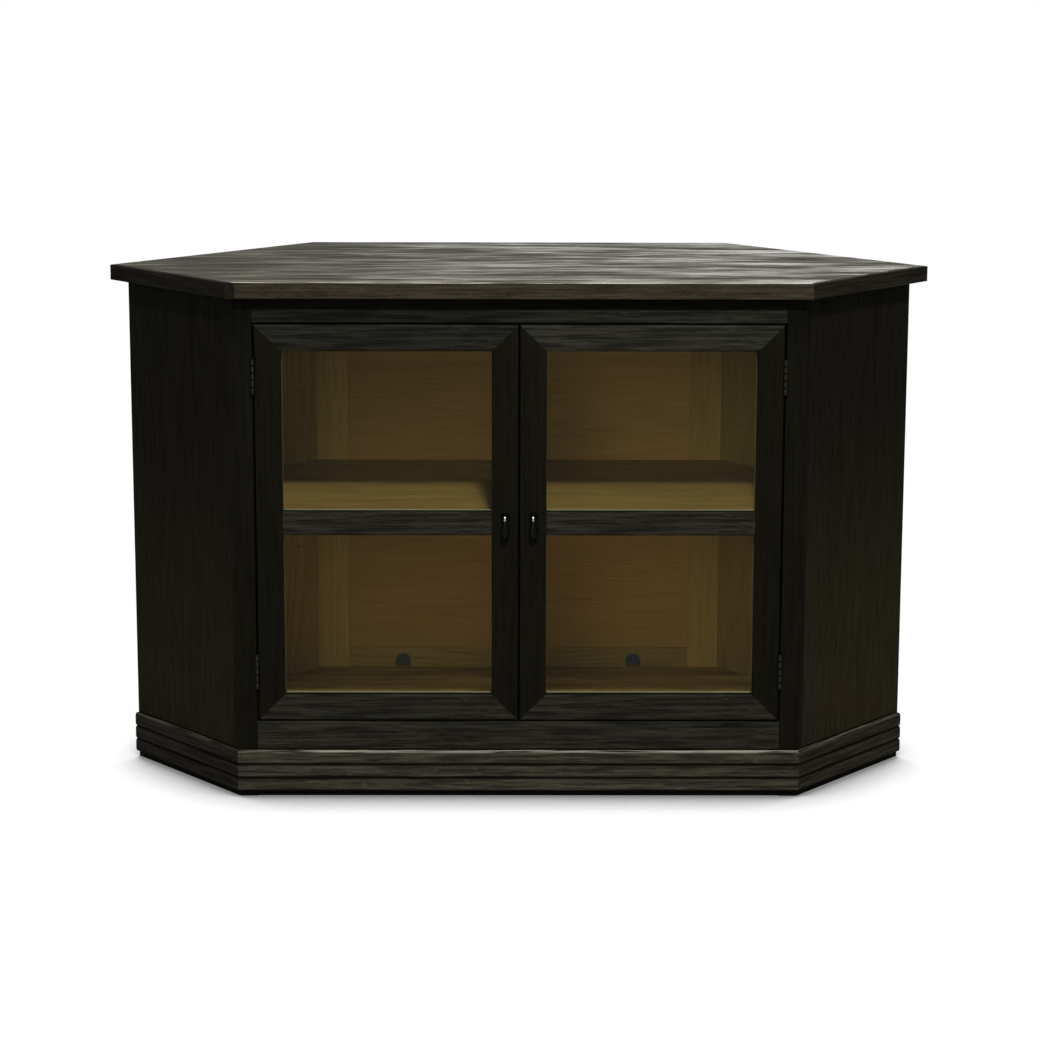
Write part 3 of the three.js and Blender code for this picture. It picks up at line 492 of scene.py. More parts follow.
# Painted light: the back panel is painted lighter upwards and to the right.
GOLDEN_PANEL_PAINTED_LIGHT = toned(GOLDEN_PANEL, 1.4)
GOLDEN_FLOOR = dict(GOLDEN, **{
    "Ground": paint(194, 165, 84), "Late": paint(170, 139, 68), "Ridge": paint(213, 186, 104),
    "Pore": paint(104, 80, 38), "Pore Share": 0.6, "Band Spread": 0.2})
# Painted shade: the floor board is painted darker at the back, where it meets the back.
GOLDEN_FLOOR_PAINTED_SHADE = toned(GOLDEN_FLOOR, 0.62)
PALE_BEAD = dict(GOLDEN, **{
    "Ground": paint(126, 120, 94), "Late": paint(116, 108, 82), "Ridge": paint(140, 134, 108),
    "Pore": paint(84, 76, 54), "Highlight Colour": paint(150, 146, 122)})
# Painted shade: the bead's upright lengths are painted darker.
SIDE_BEAD_PAINTED_SHADE = dict(PALE_BEAD, **{
    "Ground": paint(88, 83, 62), "Late": paint(80, 74, 54), "Ridge": paint(98, 93, 72),
    "Pore": paint(60, 54, 38), "Highlight Colour": paint(100, 96, 78)})
# Painted shade: the corner over the plinth and the band under the top.
CORNER_PAINTED_SHADE = dict(STAIN_UPRIGHT, **{
    "Ground": paint(10, 9, 6), "Late": paint(11, 10, 7), "Ridge": paint(14, 13, 9)})

# Metals: the dark ground, the patches on it and the colour of the painted highlight
STEEL_COLOURS = (paint(10, 9, 7), paint(24, 23, 19), paint(40, 39, 34))
SOOTY_COLOURS = (paint(4, 4, 3), paint(9, 9, 8), paint(30, 29, 26))
BRONZE_COLOURS = (paint(14, 14, 11), paint(24, 24, 19), paint(158, 157, 150))

# Painted light and shade: how much lighter or darker the left and right sides, their lippings and
# plinths are painted, as the light falls on them
SIDE_PAINTED_LIGHT = {"left": 0.78, "right": 1.25}
EDGE_PAINTED_LIGHT = {"left": 0.5, "right": 0.85}

# Specular levels, and the colour of the sheen on the top
STAIN_SHINE = 0.02
TOP_SHINE = 0.25
CLEAR_SHINE = 0.06
NEUTRAL_SHEEN = (1, 1, 1, 1)
TOP_SHEEN = (1, 0.96, 0.86, 1)

# Where a finish turns into another one, as the two distances between which it does so. All are
# painted light and shade: leftwards from the middle on the top and the top rail, by height on the
# stiles and the side panels, down from the rail's upper edge under the top and over the plinth
# above the corner, back from the middle on the floor board and the shelf, and up and rightwards
# together on the back panel
TOP_LEFT = (0.02, 0.5)
RAIL_LEFT = (-0.02, 0.12)
STILE_PAINTED_SHADE = (0.61, 0.7)
SIDE_PAINTED_BOUNCE = (0.62, 0.1)
UNDER_TOP_SHADE = (19 * MM, 14 * MM)
OVER_PLINTH_SHADE = (2.4 * MM, 1.2 * MM)
FLOOR_PAINTED_SHADE = (125 * MM, 145 * MM)
SHELF_PAINTED_LIGHT = (25 * MM, 60 * MM)
PANEL_PAINTED_LIGHT = (0, 800 * MM)

# How far the grain makes the line between two finishes ragged
RAGGED = 1.5 * MM

# How far inwards from a side panel's middle the outside's stain ends, and over what depth it does
STAIN_DEPTH = 6 * MM
STAIN_FADE = 0.5 * MM

# Growth rings: their usual width, and their width and slope on the front lipping
RING_WIDTH = 2.6 * MM
LIPPING_RING_WIDTH = 8 * MM
LIPPING_SLANT = -0.9

# Directions that boards run in
ACROSS = Vector((1, 0, 0))
UP = Vector((0, 0, 1))
DEPTH = Vector((0, 1, 0))

# Where in its trunk each board was cut is drawn by chance, in the order in which they are made
chance = np.random.default_rng(740)


def diagonal(hand):
    """Unit vector along a front diagonal side, from the front corner to the outer corner."""
    return Vector((hand, 1, 0)).normalized()


def outward(hand):
    """Unit vector out of a front diagonal side."""
    return Vector((hand, -1, 0)).normalized()


def board_axes(grain, face):
    """Turning angles that bring the grain to X and the way out of the wide face to Z."""
    side = face.cross(grain).normalized()
    return Matrix((grain, side, grain.cross(side))).to_euler()


def new_material(name):
    material = bpy.data.materials.new(name)
    material.use_nodes = True
    material.node_tree.nodes.clear()
    return material, material.node_tree


def surface(tree, shader):
    tree.links.new(shader.outputs[0], tree.nodes.new("ShaderNodeOutputMaterial").inputs["Surface"])


def grain_masks(tree, points, grain, face, boards=None, slant=None,
                ring_width=RING_WIDTH):
    """The grain of one board or glued panel, laid along its own length and centred on its box.
    boards is (first edge, width) across the panel, from its middle. With a slant, the rings cross
    the face at that slope, as on the edge of a board sawn from a bent trunk."""
    turn = board_axes(grain, face)
    middle = (points.min(0) + points.max(0)) / 2
    place = -(turn.to_matrix() @ Vector(middle))
    angle = chance.uniform(0, 2 * math.pi)
    reach = chance.uniform(0.075, 0.16)
    start = chance.uniform(-4, 4)
    lean = chance.uniform(-0.03, 0.03)
    if slant:
        angle, lean = 0, slant
    laid = node(tree, "Mapping", {
        "Vector": object_place(tree), "Location": place, "Rotation": turn}).outputs[0]
    tone = 0.5
    if boards:
        glued = group_node(tree, GLUED_BOARDS, {
            "Vector": laid, "First Edge": boards[0], "Board Width": boards[1]})
        laid, tone = glued["Vector"], glued["Tone"]
    pith = (start, reach * math.cos(angle), reach * math.sin(angle))
    masks = group_node(tree, OAK_GRAIN, {
        "Vector": laid, "Pith": pith, "Lean": lean, "Ring Width": ring_width})
    names = ("Rings", "Pores", "Fibres", "Streaks", "Rays", "Cloud", "Bands")
    return {**{name: masks[name] for name in names}, "Board Tone": tone}


def oak(name, points, grain, face, finish, shine=STAIN_SHINE, relief=0.35, sheen=NEUTRAL_SHEEN,
        changes=(), **cut):
    """One member's oak. changes is a list of (direction, start, end, finish): along the direction
    the finish turns into the other one between those two distances."""
    material, tree = new_material(name)
    masks = grain_masks(tree, points, grain, face, **cut)
    masks.update({"Painted Highlight": mask(tree, "arris"), "Painted Shade": mask(tree, "pooled")})
    shown = group_node(tree, OAK_FINISH, {**masks, **finish})
    colour, roughness = shown["Color"], shown["Roughness"]
    for direction, start, end, other in changes:
        second = group_node(tree, OAK_FINISH, {**masks, **other})
        along = node(tree, "VectorMath", {0: object_place(tree), 1: direction},
                     operation="DOT_PRODUCT").outputs["Value"]
        ragged = calc(tree, "ADD", along, calc(tree, "MULTIPLY", masks["Streaks"], RAGGED))
        past = step_between(tree, ragged, start, end)
        colour = blend(tree, past, colour, second["Color"])
        roughness = spread(tree, past, roughness, second["Roughness"])
    bump = node(tree, "Bump", {"Strength": relief, "Distance": 0.3 * MM, "Height": shown["Height"]})
    surface(tree, node(tree, "BsdfPrincipled", {
        "Base Color": colour, "Roughness": roughness, "Specular IOR Level": shine,
        "Specular Tint": sheen, "Normal": bump.outputs[0]}))
    return material


# Meshes


def box_middle(solid):
    low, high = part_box(solid)
    return (low + high) / 2


def mesh_object(name, mesh, solid, material):
    """A finished piece: its own mesh at the origin, riding on its solid's body in its place."""
    made = bpy.data.objects.new(name, mesh)
    bpy.context.scene.collection.objects.link(made)
    mesh.materials.append(material)
    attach(made, frame["nodes"][solid]["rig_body"])
    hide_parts(solid)
    return made


def tidy(mesh, crease=30):
    """Merged seams and poles, normals outwards, and edges sharper than crease kept crisp."""
    work = bmesh.new()
    work.from_mesh(mesh)
    bmesh.ops.remove_doubles(work, verts=work.verts, dist=MERGE)
    bmesh.ops.dissolve_degenerate(work, edges=work.edges, dist=SHORTEST)
    bmesh.ops.recalc_face_normals(work, faces=work.faces)
    for face in work.faces:
        face.smooth = True
    for edge in work.edges:
        if len(edge.link_faces) == 2 and edge.calc_face_angle() > math.radians(crease):
            edge.smooth = False
    work.to_mesh(mesh)
    work.free()
    return mesh


def mesh_points(mesh):
    """A mesh's points as rows of x, y and z."""
    points = np.empty(len(mesh.vertices) * 3)
    mesh.vertices.foreach_get("co", points)
    return points.reshape(-1, 3)


def solid_points(solid):
    return mesh_points(frame["nodes"][solid].data)


def mark(mesh, **masks):
    """Writes shares from 0 to 1 at a mesh's points, under the names that the materials read."""
    for name, values in masks.items():
        held = mesh.attributes.new(name, "FLOAT", "POINT")
        held.data.foreach_set("value", values.astype(np.float32))


def merged_copy(solid):
    """A solid's loose triangles as a work mesh of whole flat faces."""
    work = bmesh.new()
    work.from_mesh(frame["nodes"][solid].data)
    bmesh.ops.remove_doubles(work, verts=work.verts, dist=MERGE)
    bmesh.ops.dissolve_limit(work, angle_limit=math.radians(1), verts=work.verts, edges=work.edges)
    return work


def round_edges(work, edges, width, segments):
    """Rounds some edges of a work mesh."""
    bmesh.ops.bevel(work, geom=edges, offset=width, offset_type="OFFSET", segments=segments,
                    profile=0.5, affect="EDGES", clamp_overlap=True)


def made_mesh(work, name):
    """The mesh of a work mesh, which is freed."""
    mesh = bpy.data.meshes.new(name)
    work.to_mesh(mesh)
    work.free()
    return mesh


def edge_way(edge):
    """Unit vector along an edge."""
    return (edge.verts[1].co - edge.verts[0].co).normalized()


def looks_along(face, ways):
    """Whether a face looks along one of some directions, to within about 11 degrees."""
    return any(face.normal.dot(way) > 0.98 for way in ways)


def in_hole(face, low, high, way):
    """Whether a face is a wall that runs along way inside a box, away from the box's own sides."""
    middle = face.calc_center_median()
    sides = [axis for axis in range(3) if abs(way[axis]) < 0.5]
    return abs(face.normal.dot(way)) < 0.1 and all(
        low[axis] + 1 * MM < middle[axis] < high[axis] - 1 * MM for axis in sides)


def eased_mesh(solid, width, least_angle=40, grain=None, shaded_ways=(), highlight_ways=(),
               farthest=math.inf, bored=None):
    """A copy of a solid with its outer edges rounded to the given width, for edges that turn by
    more than least_angle and lie no farther back than farthest. With a grain direction, only edges
    along it are rounded, so that glued ends stay tight. A painted highlight is marked on the faces
    that look one of the ways given for it, and painted shade on the faces that look one of the ways
    given for that, and on the walls of holes bored along the bored direction."""
    work = merged_copy(solid)
    arris = work.faces.layers.float.new("arris")
    pooled = work.faces.layers.float.new("pooled")
    sharp = [edge for edge in work.edges if len(edge.link_faces) == 2 and edge.is_convex
             and edge.calc_face_angle() > math.radians(least_angle)
             and (grain is None or abs(edge_way(edge).dot(grain)) > 0.9)
             and max(point.co.y for point in edge.verts) < farthest]
    round_edges(work, sharp, width, 3)
    low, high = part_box(solid)
    for face in work.faces:
        face.smooth = False
        face[arris] = float(looks_along(face, highlight_ways))
        face[pooled] = float(looks_along(face, shaded_ways)
                             or bored is not None and in_hole(face, low, high, bored))
    return made_mesh(work, solid)


def board(solid, grain, face, finish, ease=EASED, least_angle=40, slot="stained_oak", ends=False,
          framing=False, highlight_ways=(), bored=None, **kind):
    """A wooden member: its solid's shape with eased edges and its own piece of oak. Its ends are
    eased too where they aren't glued to anything. Framing is eased at its face only, and its two
    narrow sides are darkened with painted shade. The faces that look one of the ways given for a
    highlight get a painted highlight, and the walls of holes bored along the bored direction are
    darkened with painted shade."""
    material = oak(solid + "_oak", solid_points(solid), grain, face, finish, **kind)
    side = face.cross(grain)
    shaded_ways, farthest = (), math.inf
    if framing:
        ease = FRAMING_EASED
        shaded_ways, farthest = (side, -side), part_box(solid)[0].y + 1 * MM
    mesh = eased_mesh(solid, ease, least_angle, None if ends else grain, shaded_ways, highlight_ways,
                      farthest, bored)
    return mesh_object(solid + "_wood", mesh, solid, material)


def natural(solid, grain, face, finish=GOLDEN, ease=EASED, shine=CLEAR_SHINE, **kind):
    """A member of the golden inside, without stain."""
    return board(solid, grain, face, finish, ease, slot="natural_oak", shine=shine, relief=0.12, **kind)


def glued_up(width):
    """Glued boards of one width, the first of them in the middle: its edge, and the width."""
    return -width / 2, width


def quads(rows, columns, ring=False):
    """Faces of a grid of points numbered row by row. The last column is joined to the first, and in
    a ring the last row too."""
    row = np.arange(rows if ring else rows - 1)[:, None]
    here, there = row * columns, (row + 1) % rows * columns
    column = np.arange(columns)[None, :]
    after = (column + 1) % columns
    return np.stack([here + column, here + after, there + after, there + column], -1).reshape(-1, 4)


def prism_faces(count):
    """Faces between two outlines of count points each, numbered one after the other: the sides
    all round, and the outlines themselves as the two ends."""
    sides = [(i, (i + 1) % count, count + (i + 1) % count, count + i) for i in range(count)]
    return sides, [tuple(range(count))[::-1], tuple(range(count, 2 * count))]


def joined_mesh(name, parts):
    """One mesh of several closed surfaces, each given as points and faces."""
    points, faces, count = [], [], 0
    for part_points, part_faces in parts:
        points.append(part_points)
        faces += [[int(index) + count for index in face] for face in part_faces]
        count += len(part_points)
    mesh = bpy.data.meshes.new(name)
    mesh.from_pydata(np.concatenate(points), [], faces)
    return mesh


def turned(profile, centre, axis, steps=48):
    """A turned part. profile is rows of (radius, distance along the axis), starting and ending on
    the axis; point (i, j) is centre + radius_i * (cos a_j, sin a_j) across + distance_i * axis."""
    axis = np.asarray(axis, float)
    first = np.cross(axis, (0.3, 0.5, 0.81))
    first /= np.linalg.norm(first)
    second = np.cross(axis, first)
    angle = np.linspace(0, 2 * math.pi, steps, endpoint=False)
    ring = np.cos(angle)[:, None] * first + np.sin(angle)[:, None] * second
    radius, distance = np.asarray(profile, float).T
    points = np.asarray(centre) + radius[:, None, None] * ring + distance[:, None, None] * axis
    return points.reshape(-1, 3), quads(len(profile), steps)


def bar_profile(radius, low, high, round_off):
    """Side view of a round bar with its ends rounded off: quarter circles at both rims."""
    turn = np.linspace(0, math.pi / 2, 5)
    rim = radius - round_off
    start = np.stack([rim + round_off * np.sin(turn), low + round_off * (1 - np.cos(turn))], 1)
    end = np.stack([rim + round_off * np.cos(turn), high - round_off * (1 - np.sin(turn))], 1)
    return np.concatenate([[[0, low]], start, end, [[0, high]]])


def knuckle_profile(radius, low, high, round_off, collar):
    """A round bar's side view with two more rings, a collar's length in from each end."""
    rows = bar_profile(radius, low, high, round_off)
    middle = len(rows) // 2
    collars = [[radius, low + collar], [radius, high - collar]]
    return np.concatenate([rows[:middle], collars, rows[middle:]])


def half_moon(centre, out, slot_way, radius, slot_half, rise):
    """One half of a slotted screw head: points centre + radius (cos a, sin a) on the arc that lies
    more than slot_half from the slot's middle, on two levels along out."""
    first = np.asarray(slot_way, float)
    second = np.cross(np.asarray(out, float), first)
    start = math.asin(slot_half / radius)
    angle = np.linspace(start, math.pi - start, 13)[:, None]
    arc = radius * (np.cos(angle) * first + np.sin(angle) * second) + np.asarray(centre)
    points = np.concatenate([arc, arc + rise * np.asarray(out, float)])
    sides, ends = prism_faces(len(arc))
    return points, ends + sides


def screw_head(centre, out, slot_way):
    """A countersunk slotted head that stands a hair above its plate."""
    out = Vector(out)
    way = Vector(slot_way)
    way = (way - out * way.dot(out)).normalized()
    halves = [half_moon(centre, out, turn * way, SCREW_RADIUS, SLOT_HALF, SCREW_RISE)
              for turn in (1, -1)]
    seat_rise = SCREW_RISE / 4
    seat = turned([[0, 0], [SCREW_RADIUS, 0], [SCREW_RADIUS, seat_rise], [0, seat_rise]],
                  centre, out, 24)
    return [seat, *halves]


def slab(low, high):
    """A rectangular plate between two corners: low plus each of the eight choices of none or all of
    the size along each axis."""
    low, high = np.asarray(low, float), np.asarray(high, float)
    corners = np.array([(x, y, z) for z in (0, 1) for y in (0, 1) for x in (0, 1)])
    faces = [(0, 2, 3, 1), (4, 5, 7, 6), (0, 1, 5, 4), (2, 6, 7, 3), (0, 4, 6, 2), (1, 3, 7, 5)]
    return low + corners * (high - low), faces


# Studio


def add_camera():
    """The picture's camera: its axes are turned by yaw and pitch, then rolled about the view."""
    data = bpy.data.cameras.new("camera")
    data.sensor_width = SENSOR_WIDTH
    data.lens = FOCAL_LENGTH_PX / PICTURE_WIDTH * SENSOR_WIDTH
    data.shift_x = 0.5 - AXIS_PX[0] / PICTURE_WIDTH
    data.shift_y = AXIS_PX[1] / PICTURE_WIDTH - 0.5
    pitch, yaw, roll = (math.radians(angle) for angle in (CAMERA_PITCH, CAMERA_YAW, CAMERA_ROLL))
    level_part = math.cos(pitch)
    ahead = Vector((math.sin(yaw) * level_part, math.cos(yaw) * level_part, -math.sin(pitch)))
    level = Vector((math.cos(yaw), -math.sin(yaw), 0))
    above = level.cross(ahead)
    right = math.cos(roll) * level + math.sin(roll) * above
    up = math.cos(roll) * above - math.sin(roll) * level
    turn = Matrix((right, up, -ahead)).transposed().to_4x4()
    camera = bpy.data.objects.new("camera", data)
    camera.matrix_world = Matrix.Translation(CAMERA_PLACE) @ turn
    bpy.context.scene.collection.objects.link(camera)
    bpy.context.scene.camera = camera


def add_softbox(name, place, aim, size, power):
    """A round soft lamp that the camera doesn't see."""
    data = bpy.data.lights.new(name, "AREA")
    data.shape = "DISK"
    data.size = size
    data.energy = power
    lamp = bpy.data.objects.new(name, data)
    lamp.location = place
    lamp.rotation_euler = (Vector(aim) - Vector(place)).to_track_quat("-Z", "Y").to_euler()
    lamp.visible_camera = False
    bpy.context.scene.collection.objects.link(lamp)


def seen_directly(tree):
    """1 for rays that show the room to the camera, straight or by way of metal or glass."""
    path = node(tree, "LightPath").outputs
    shown = calc(tree, "MAXIMUM", path["Is Camera Ray"], path["Is Glossy Ray"])
    shown = calc(tree, "MAXIMUM", shown, path["Is Transmission Ray"])
    return calc(tree, "MULTIPLY", shown, calc(tree, "LESS_THAN", path["Diffuse Depth"], 0.5))


def floor_shade(tree):
    """What the floor keeps of its light behind the cabinet, from 0 to 1."""
    light_way = node(tree, "CombineXYZ", dict(zip("XYZ", SHADE_FROM))).outputs[0]
    open_share = node(tree, "AmbientOcclusion", {"Distance": SHADE_REACH, "Normal": light_way},
                      samples=32).outputs["AO"]
    away = node(tree, "VectorMath", {0: object_place(tree), 1: SHADE_MIDDLE},
                operation="DISTANCE").outputs["Value"]
    lit = calc(tree, "MAXIMUM", step_between(tree, open_share, *SHADE_OPEN),
               step_between(tree, away, *SHADE_END))
    through_pane = node(tree, "LightPath").outputs["Is Transmission Ray"]
    darkest = spread(tree, through_pane, SHADE_SEEN, SHADE_THROUGH_PANE)
    return spread(tree, lit, darkest, 1.0)


def contact_shade(tree):
    """What the floor keeps of its glow close to the base: twice the share of the sky that is hidden
    within CONTACT_REACH, at most 1 and squared, leads from 1 down to CONTACT_DARKEST."""
    open_share = node(tree, "AmbientOcclusion", {"Distance": CONTACT_REACH}, samples=8).outputs["AO"]
    past_half = calc(tree, "MULTIPLY", calc(tree, "SUBTRACT", open_share, 0.5), 2.0)
    closed = calc(tree, "SUBTRACT", 1.0, past_half, clamp=True)
    return spread(tree, calc(tree, "MULTIPLY", closed, closed), 1.0, CONTACT_DARKEST)


def add_room():
    """White room for the camera, dim room for the light, and a pale floor that keeps the shadow."""
    world = bpy.data.worlds.new("room")
    world.use_nodes = True
    tree = world.node_tree
    tree.nodes.clear()
    strength = spread(tree, seen_directly(tree), ROOM_LIGHT, 1.0)
    background = node(tree, "Background", {"Color": (1, 1, 1, 1), "Strength": strength})
    output = tree.nodes.new("ShaderNodeOutputWorld")
    tree.links.new(background.outputs[0], output.inputs["Surface"])
    bpy.context.scene.world = world

    material, tree = new_material("pale_floor")
    seen, shade = seen_directly(tree), floor_shade(tree)
    shown = calc(tree, "MULTIPLY", shade, FLOOR_SHOWN)
    plain = node(tree, "BsdfDiffuse", {"Color": spread(tree, seen, FLOOR_WHITE, shown)})
    strength = calc(tree, "MULTIPLY", calc(tree, "MULTIPLY", seen, FLOOR_GLOW), contact_shade(tree))
    strength = calc(tree, "MULTIPLY", strength, shade)
    glow = node(tree, "Emission", {"Color": (1, 1, 1, 1), "Strength": strength})
    surface(tree, node(tree, "AddShader", {0: plain.outputs[0], 1: glow.outputs[0]}))
    corners = FLOOR_REACH * np.array([(-1, -1, 0), (1, -1, 0), (1, 1, 0), (-1, 1, 0)])
    mesh = bpy.data.meshes.new("floor")
    mesh.from_pydata(corners, [], [(0, 1, 2, 3)])
    mesh.materials.append(material)
    floor = bpy.data.objects.new("floor", mesh)
    bpy.context.scene.collection.objects.link(floor)


# Other materials


def clear_glass():
    """Window glass, which lets light and shadow rays straight through. Its low IOR leaves out most
    of the white room's mirror image, which would veil the inside."""
    material, tree = new_material("clear_glass")
    glass = node(tree, "BsdfPrincipled", {
        "Base Color": (0.97, 0.985, 0.975, 1), "Roughness": 0.0, "IOR": 1.12,
        "Transmission Weight": 1.0})
    path = node(tree, "LightPath").outputs
    passing = calc(tree, "MAXIMUM", path["Is Shadow Ray"], path["Is Diffuse Ray"])
    through = node(tree, "BsdfTransparent", {"Color": (0.95, 0.97, 0.96, 1)})
    surface(tree, node(tree, "MixShader", {0: passing, 1: glass.outputs[0], 2: through.outputs[0]}))
    return material


def metal_with_highlight(name, dark, patch, highlight_colour, roughness, wear_scale):
    """Metal with lighter patches in small clouds, and a painted highlight in the third colour where the
    mesh marks one.
    """
    material, tree = new_material(name)
    where = object_place(tree)
    cloud = noise(tree, where, (wear_scale,) * 3, 3, 0.6).outputs[0]
    colour = blend(tree, step_between(tree, cloud, 0.48, 0.7), dark, patch)
    highlight_part = calc(tree, "MULTIPLY", mask(tree, "arris"), spread(tree, cloud, 0.75, 1.15), clamp=True)
    fine = noise(tree, where, (wear_scale * 6,) * 3, 2).outputs[0]
    bump = node(tree, "Bump", {"Strength": 0.15, "Distance": 0.05 * MM, "Height": fine})
    surface(tree, node(tree, "BsdfPrincipled", {
        "Base Color": blend(tree, highlight_part, colour, highlight_colour), "Metallic": 1.0,
        "Roughness": spread(tree, fine, roughness - 0.05, roughness + 0.1), "Normal": bump.outputs[0]}))
    return material


def black_plastic():
    """Black plastic with a fine stipple."""
    material, tree = new_material("moulded_plastic")
    stipple = noise(tree, object_place(tree), (1800,) * 3, 1).outputs[0]
    bump = node(tree, "Bump", {"Strength": 0.2, "Distance": 0.05 * MM, "Height": stipple})
    surface(tree, node(tree, "BsdfPrincipled", {
        "Base Color": blend(tree, stipple, paint(20, 20, 21), paint(28, 28, 29)),
        "Roughness": spread(tree, stipple, 0.45, 0.6), "Specular IOR Level": 0.3,
        "Normal": bump.outputs[0]}))
    return material


# Pieces


def add_top():
    """The top's planks, whose first joint lies the front plank's width behind the front edge, and
    the lippings. Edges of the planks that turn by less than 50 degrees stay as they are."""
    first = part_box("top_board")[0].y + FRONT_PLANK - TOP_PLANK - box_middle("top_board").y
    # Painted sheen: the top is painted lighter than the stain, and darker towards the left.
    board("top_board", ACROSS, UP, STAIN_TOP, ease=TOP_EASED, least_angle=50,
          boards=(first, TOP_PLANK), shine=TOP_SHINE, sheen=TOP_SHEEN,
          changes=[(-ACROSS, *TOP_LEFT, STAIN_TOP_LEFT_PAINTED_SHADE)])
    # The front lipping's upper face carries a painted highlight.
    board("top_lipping_front", ACROSS, -DEPTH, STAIN_EDGE, ease=LIPPING_EASED,
          slant=LIPPING_SLANT, ring_width=LIPPING_RING_WIDTH, highlight_ways=(UP,))
    for name, hand in SIDES.items():
        # Painted light and shade: each side lipping is painted lighter or darker.
        finish = toned(STAIN_EDGE_SIDE_PAINTED_SHADE, EDGE_PAINTED_LIGHT[name])
        board(f"top_lipping_{name}", diagonal(hand), outward(hand), finish, ease=SIDE_LIPPING_EASED)


def downwards(height, start, end, finish):
    """A change of finish down a board, from start to end over a height."""
    return -UP, -height - start, -height - end, finish


def add_side(name, hand, painted_corner_shade):
    """One side of the cabinet: corner stile, the diagonal panels in front and behind, back stile."""
    # Painted shade darkens the stile towards its top and in the corner over the plinth.
    stile = board(f"face_stile_{name}", UP, -DEPTH, STAIN_UPRIGHT, framing=True,
                  changes=[(UP, *STILE_PAINTED_SHADE, STAIN_UPRIGHT_PAINTED_SHADE), painted_corner_shade])
    opening = np.abs(mesh_points(stile.data)[:, 0]).min()
    lean_edge(stile.data, hand * opening, -hand * STILE_LEAN)

    solid = f"side_panel_{name}"
    inwards = outward(hand) * -1
    stain_end = box_middle(solid).dot(inwards) + STAIN_DEPTH
    # Painted light and shade: the side is painted lighter or darker by its gain, and lighter at its
    # foot.
    gain = SIDE_PAINTED_LIGHT[name]
    board(solid, UP, outward(hand), toned(STAIN_SIDE, gain), boards=glued_up(SIDE_BOARD), changes=[
        downwards(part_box(solid)[0].z, *SIDE_PAINTED_BOUNCE, toned(STAIN_SIDE_PAINTED_BOUNCE, gain)), painted_corner_shade,
        (inwards, stain_end, stain_end + STAIN_FADE, GOLDEN)])
    natural(f"rear_panel_{name}", UP, Vector((-hand, -1, 0)).normalized(), boards=glued_up(REAR_BOARD))
    natural(f"back_stile_{name}", UP, -DEPTH, GOLDEN_STILE)


def add_carcase():
    """The sides, the face rails, the back, the floor board and the shelf. Painted shade darkens the
    corner over the plinth and the band under the top."""
    painted_corner_shade = downwards(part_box("plinth_front")[1].z, *OVER_PLINTH_SHADE, CORNER_PAINTED_SHADE)
    for name, hand in SIDES.items():
        add_side(name, hand, painted_corner_shade)
    rail_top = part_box("face_top_rail")[1].z
    board("face_top_rail", ACROSS, -DEPTH, STAIN_TOP_RAIL, framing=True, changes=[
        (-ACROSS, *RAIL_LEFT, STAIN_TOP_RAIL_PAINTED_SHADE_LEFT),
        (UP, rail_top - UNDER_TOP_SHADE[0], rail_top - UNDER_TOP_SHADE[1], CORNER_PAINTED_SHADE)])
    board("face_bottom_rail", ACROSS, -DEPTH, STAIN_RAIL, framing=True, changes=[painted_corner_shade])
    natural("back_bottom_rail", ACROSS, -DEPTH, shine=0, bored=DEPTH)
    natural("back_top_rail", ACROSS, -DEPTH)
    # Painted light and shade inside: the back panel turns lighter upwards and to the right, the floor
    # board darker at the back, and the shelf lighter behind the strip that the lamp lights.
    natural("back_panel", ACROSS, -DEPTH, GOLDEN_PANEL, boards=glued_up(BACK_BOARD),
            changes=[(ACROSS + UP, *PANEL_PAINTED_LIGHT, GOLDEN_PANEL_PAINTED_LIGHT)])
    natural("bottom_board", ACROSS, UP, GOLDEN_FLOOR, shine=0, boards=glued_up(FLOOR_BOARD),
            changes=[(DEPTH, *FLOOR_PAINTED_SHADE, GOLDEN_FLOOR_PAINTED_SHADE)])
    natural("shelf", ACROSS, UP, GOLDEN_SHELF, boards=glued_up(SHELF_BOARD), ease=SHELF_EASED, ends=True,
            changes=[(DEPTH, *SHELF_PAINTED_LIGHT, GOLDEN_SHELF_PAINTED_LIGHT)])


def reed_profile(face, back, low, high):
    """Section of the reeded moulding as rows of depth and height: each reed steps out by the sine
    and up by one minus the cosine of a quarter turn at its lower edge, and back at its upper one."""
    pitch = (high - low) / REED_COUNT
    root = face + REED_DEPTH
    turn = np.linspace(0, math.pi / 2, 13)
    rows = [(back, low)]
    for start in low + pitch * np.arange(REED_COUNT):
        rows += zip(root - REED_DEPTH * np.sin(turn), start + REED_ROUND * (1 - np.cos(turn)))
        rows += zip(root - REED_DEPTH * np.cos(turn), start + pitch - REED_ROUND * (1 - np.sin(turn)))
    return np.array([*rows, (back, high)])


def mark_reeds(mesh, low, high):
    """Painted shade darkens the grooves and a painted highlight lights the top edge: both fall off with
    the height from the groove or the edge over its width."""
    heights = mesh_points(mesh)[:, 2]
    pitch = (high - low) / REED_COUNT
    grooves = low + pitch * np.arange(0, REED_COUNT)
    nearest = np.abs(heights[:, None] - grooves).min(1)
    mark(mesh, pooled=np.clip(1 - (nearest - GROOVE_SHADE_CORE) / GROOVE_SHADE_FADE, 0, 1),
         arris=np.clip(1 - (high - heights) / HIGHLIGHT_EDGE, 0, 1))


def mitred_end(profile, face, corner, hand):
    """The moulding's section at a front corner of 45 degrees: x = corner - tan 22.5 times the
    distance behind the face, so that the ends of two lengths meet."""
    x = hand * (corner - math.tan(math.radians(22.5)) * (profile[:, 0] - face))
    return np.stack([x, profile[:, 0], profile[:, 1]], 1)


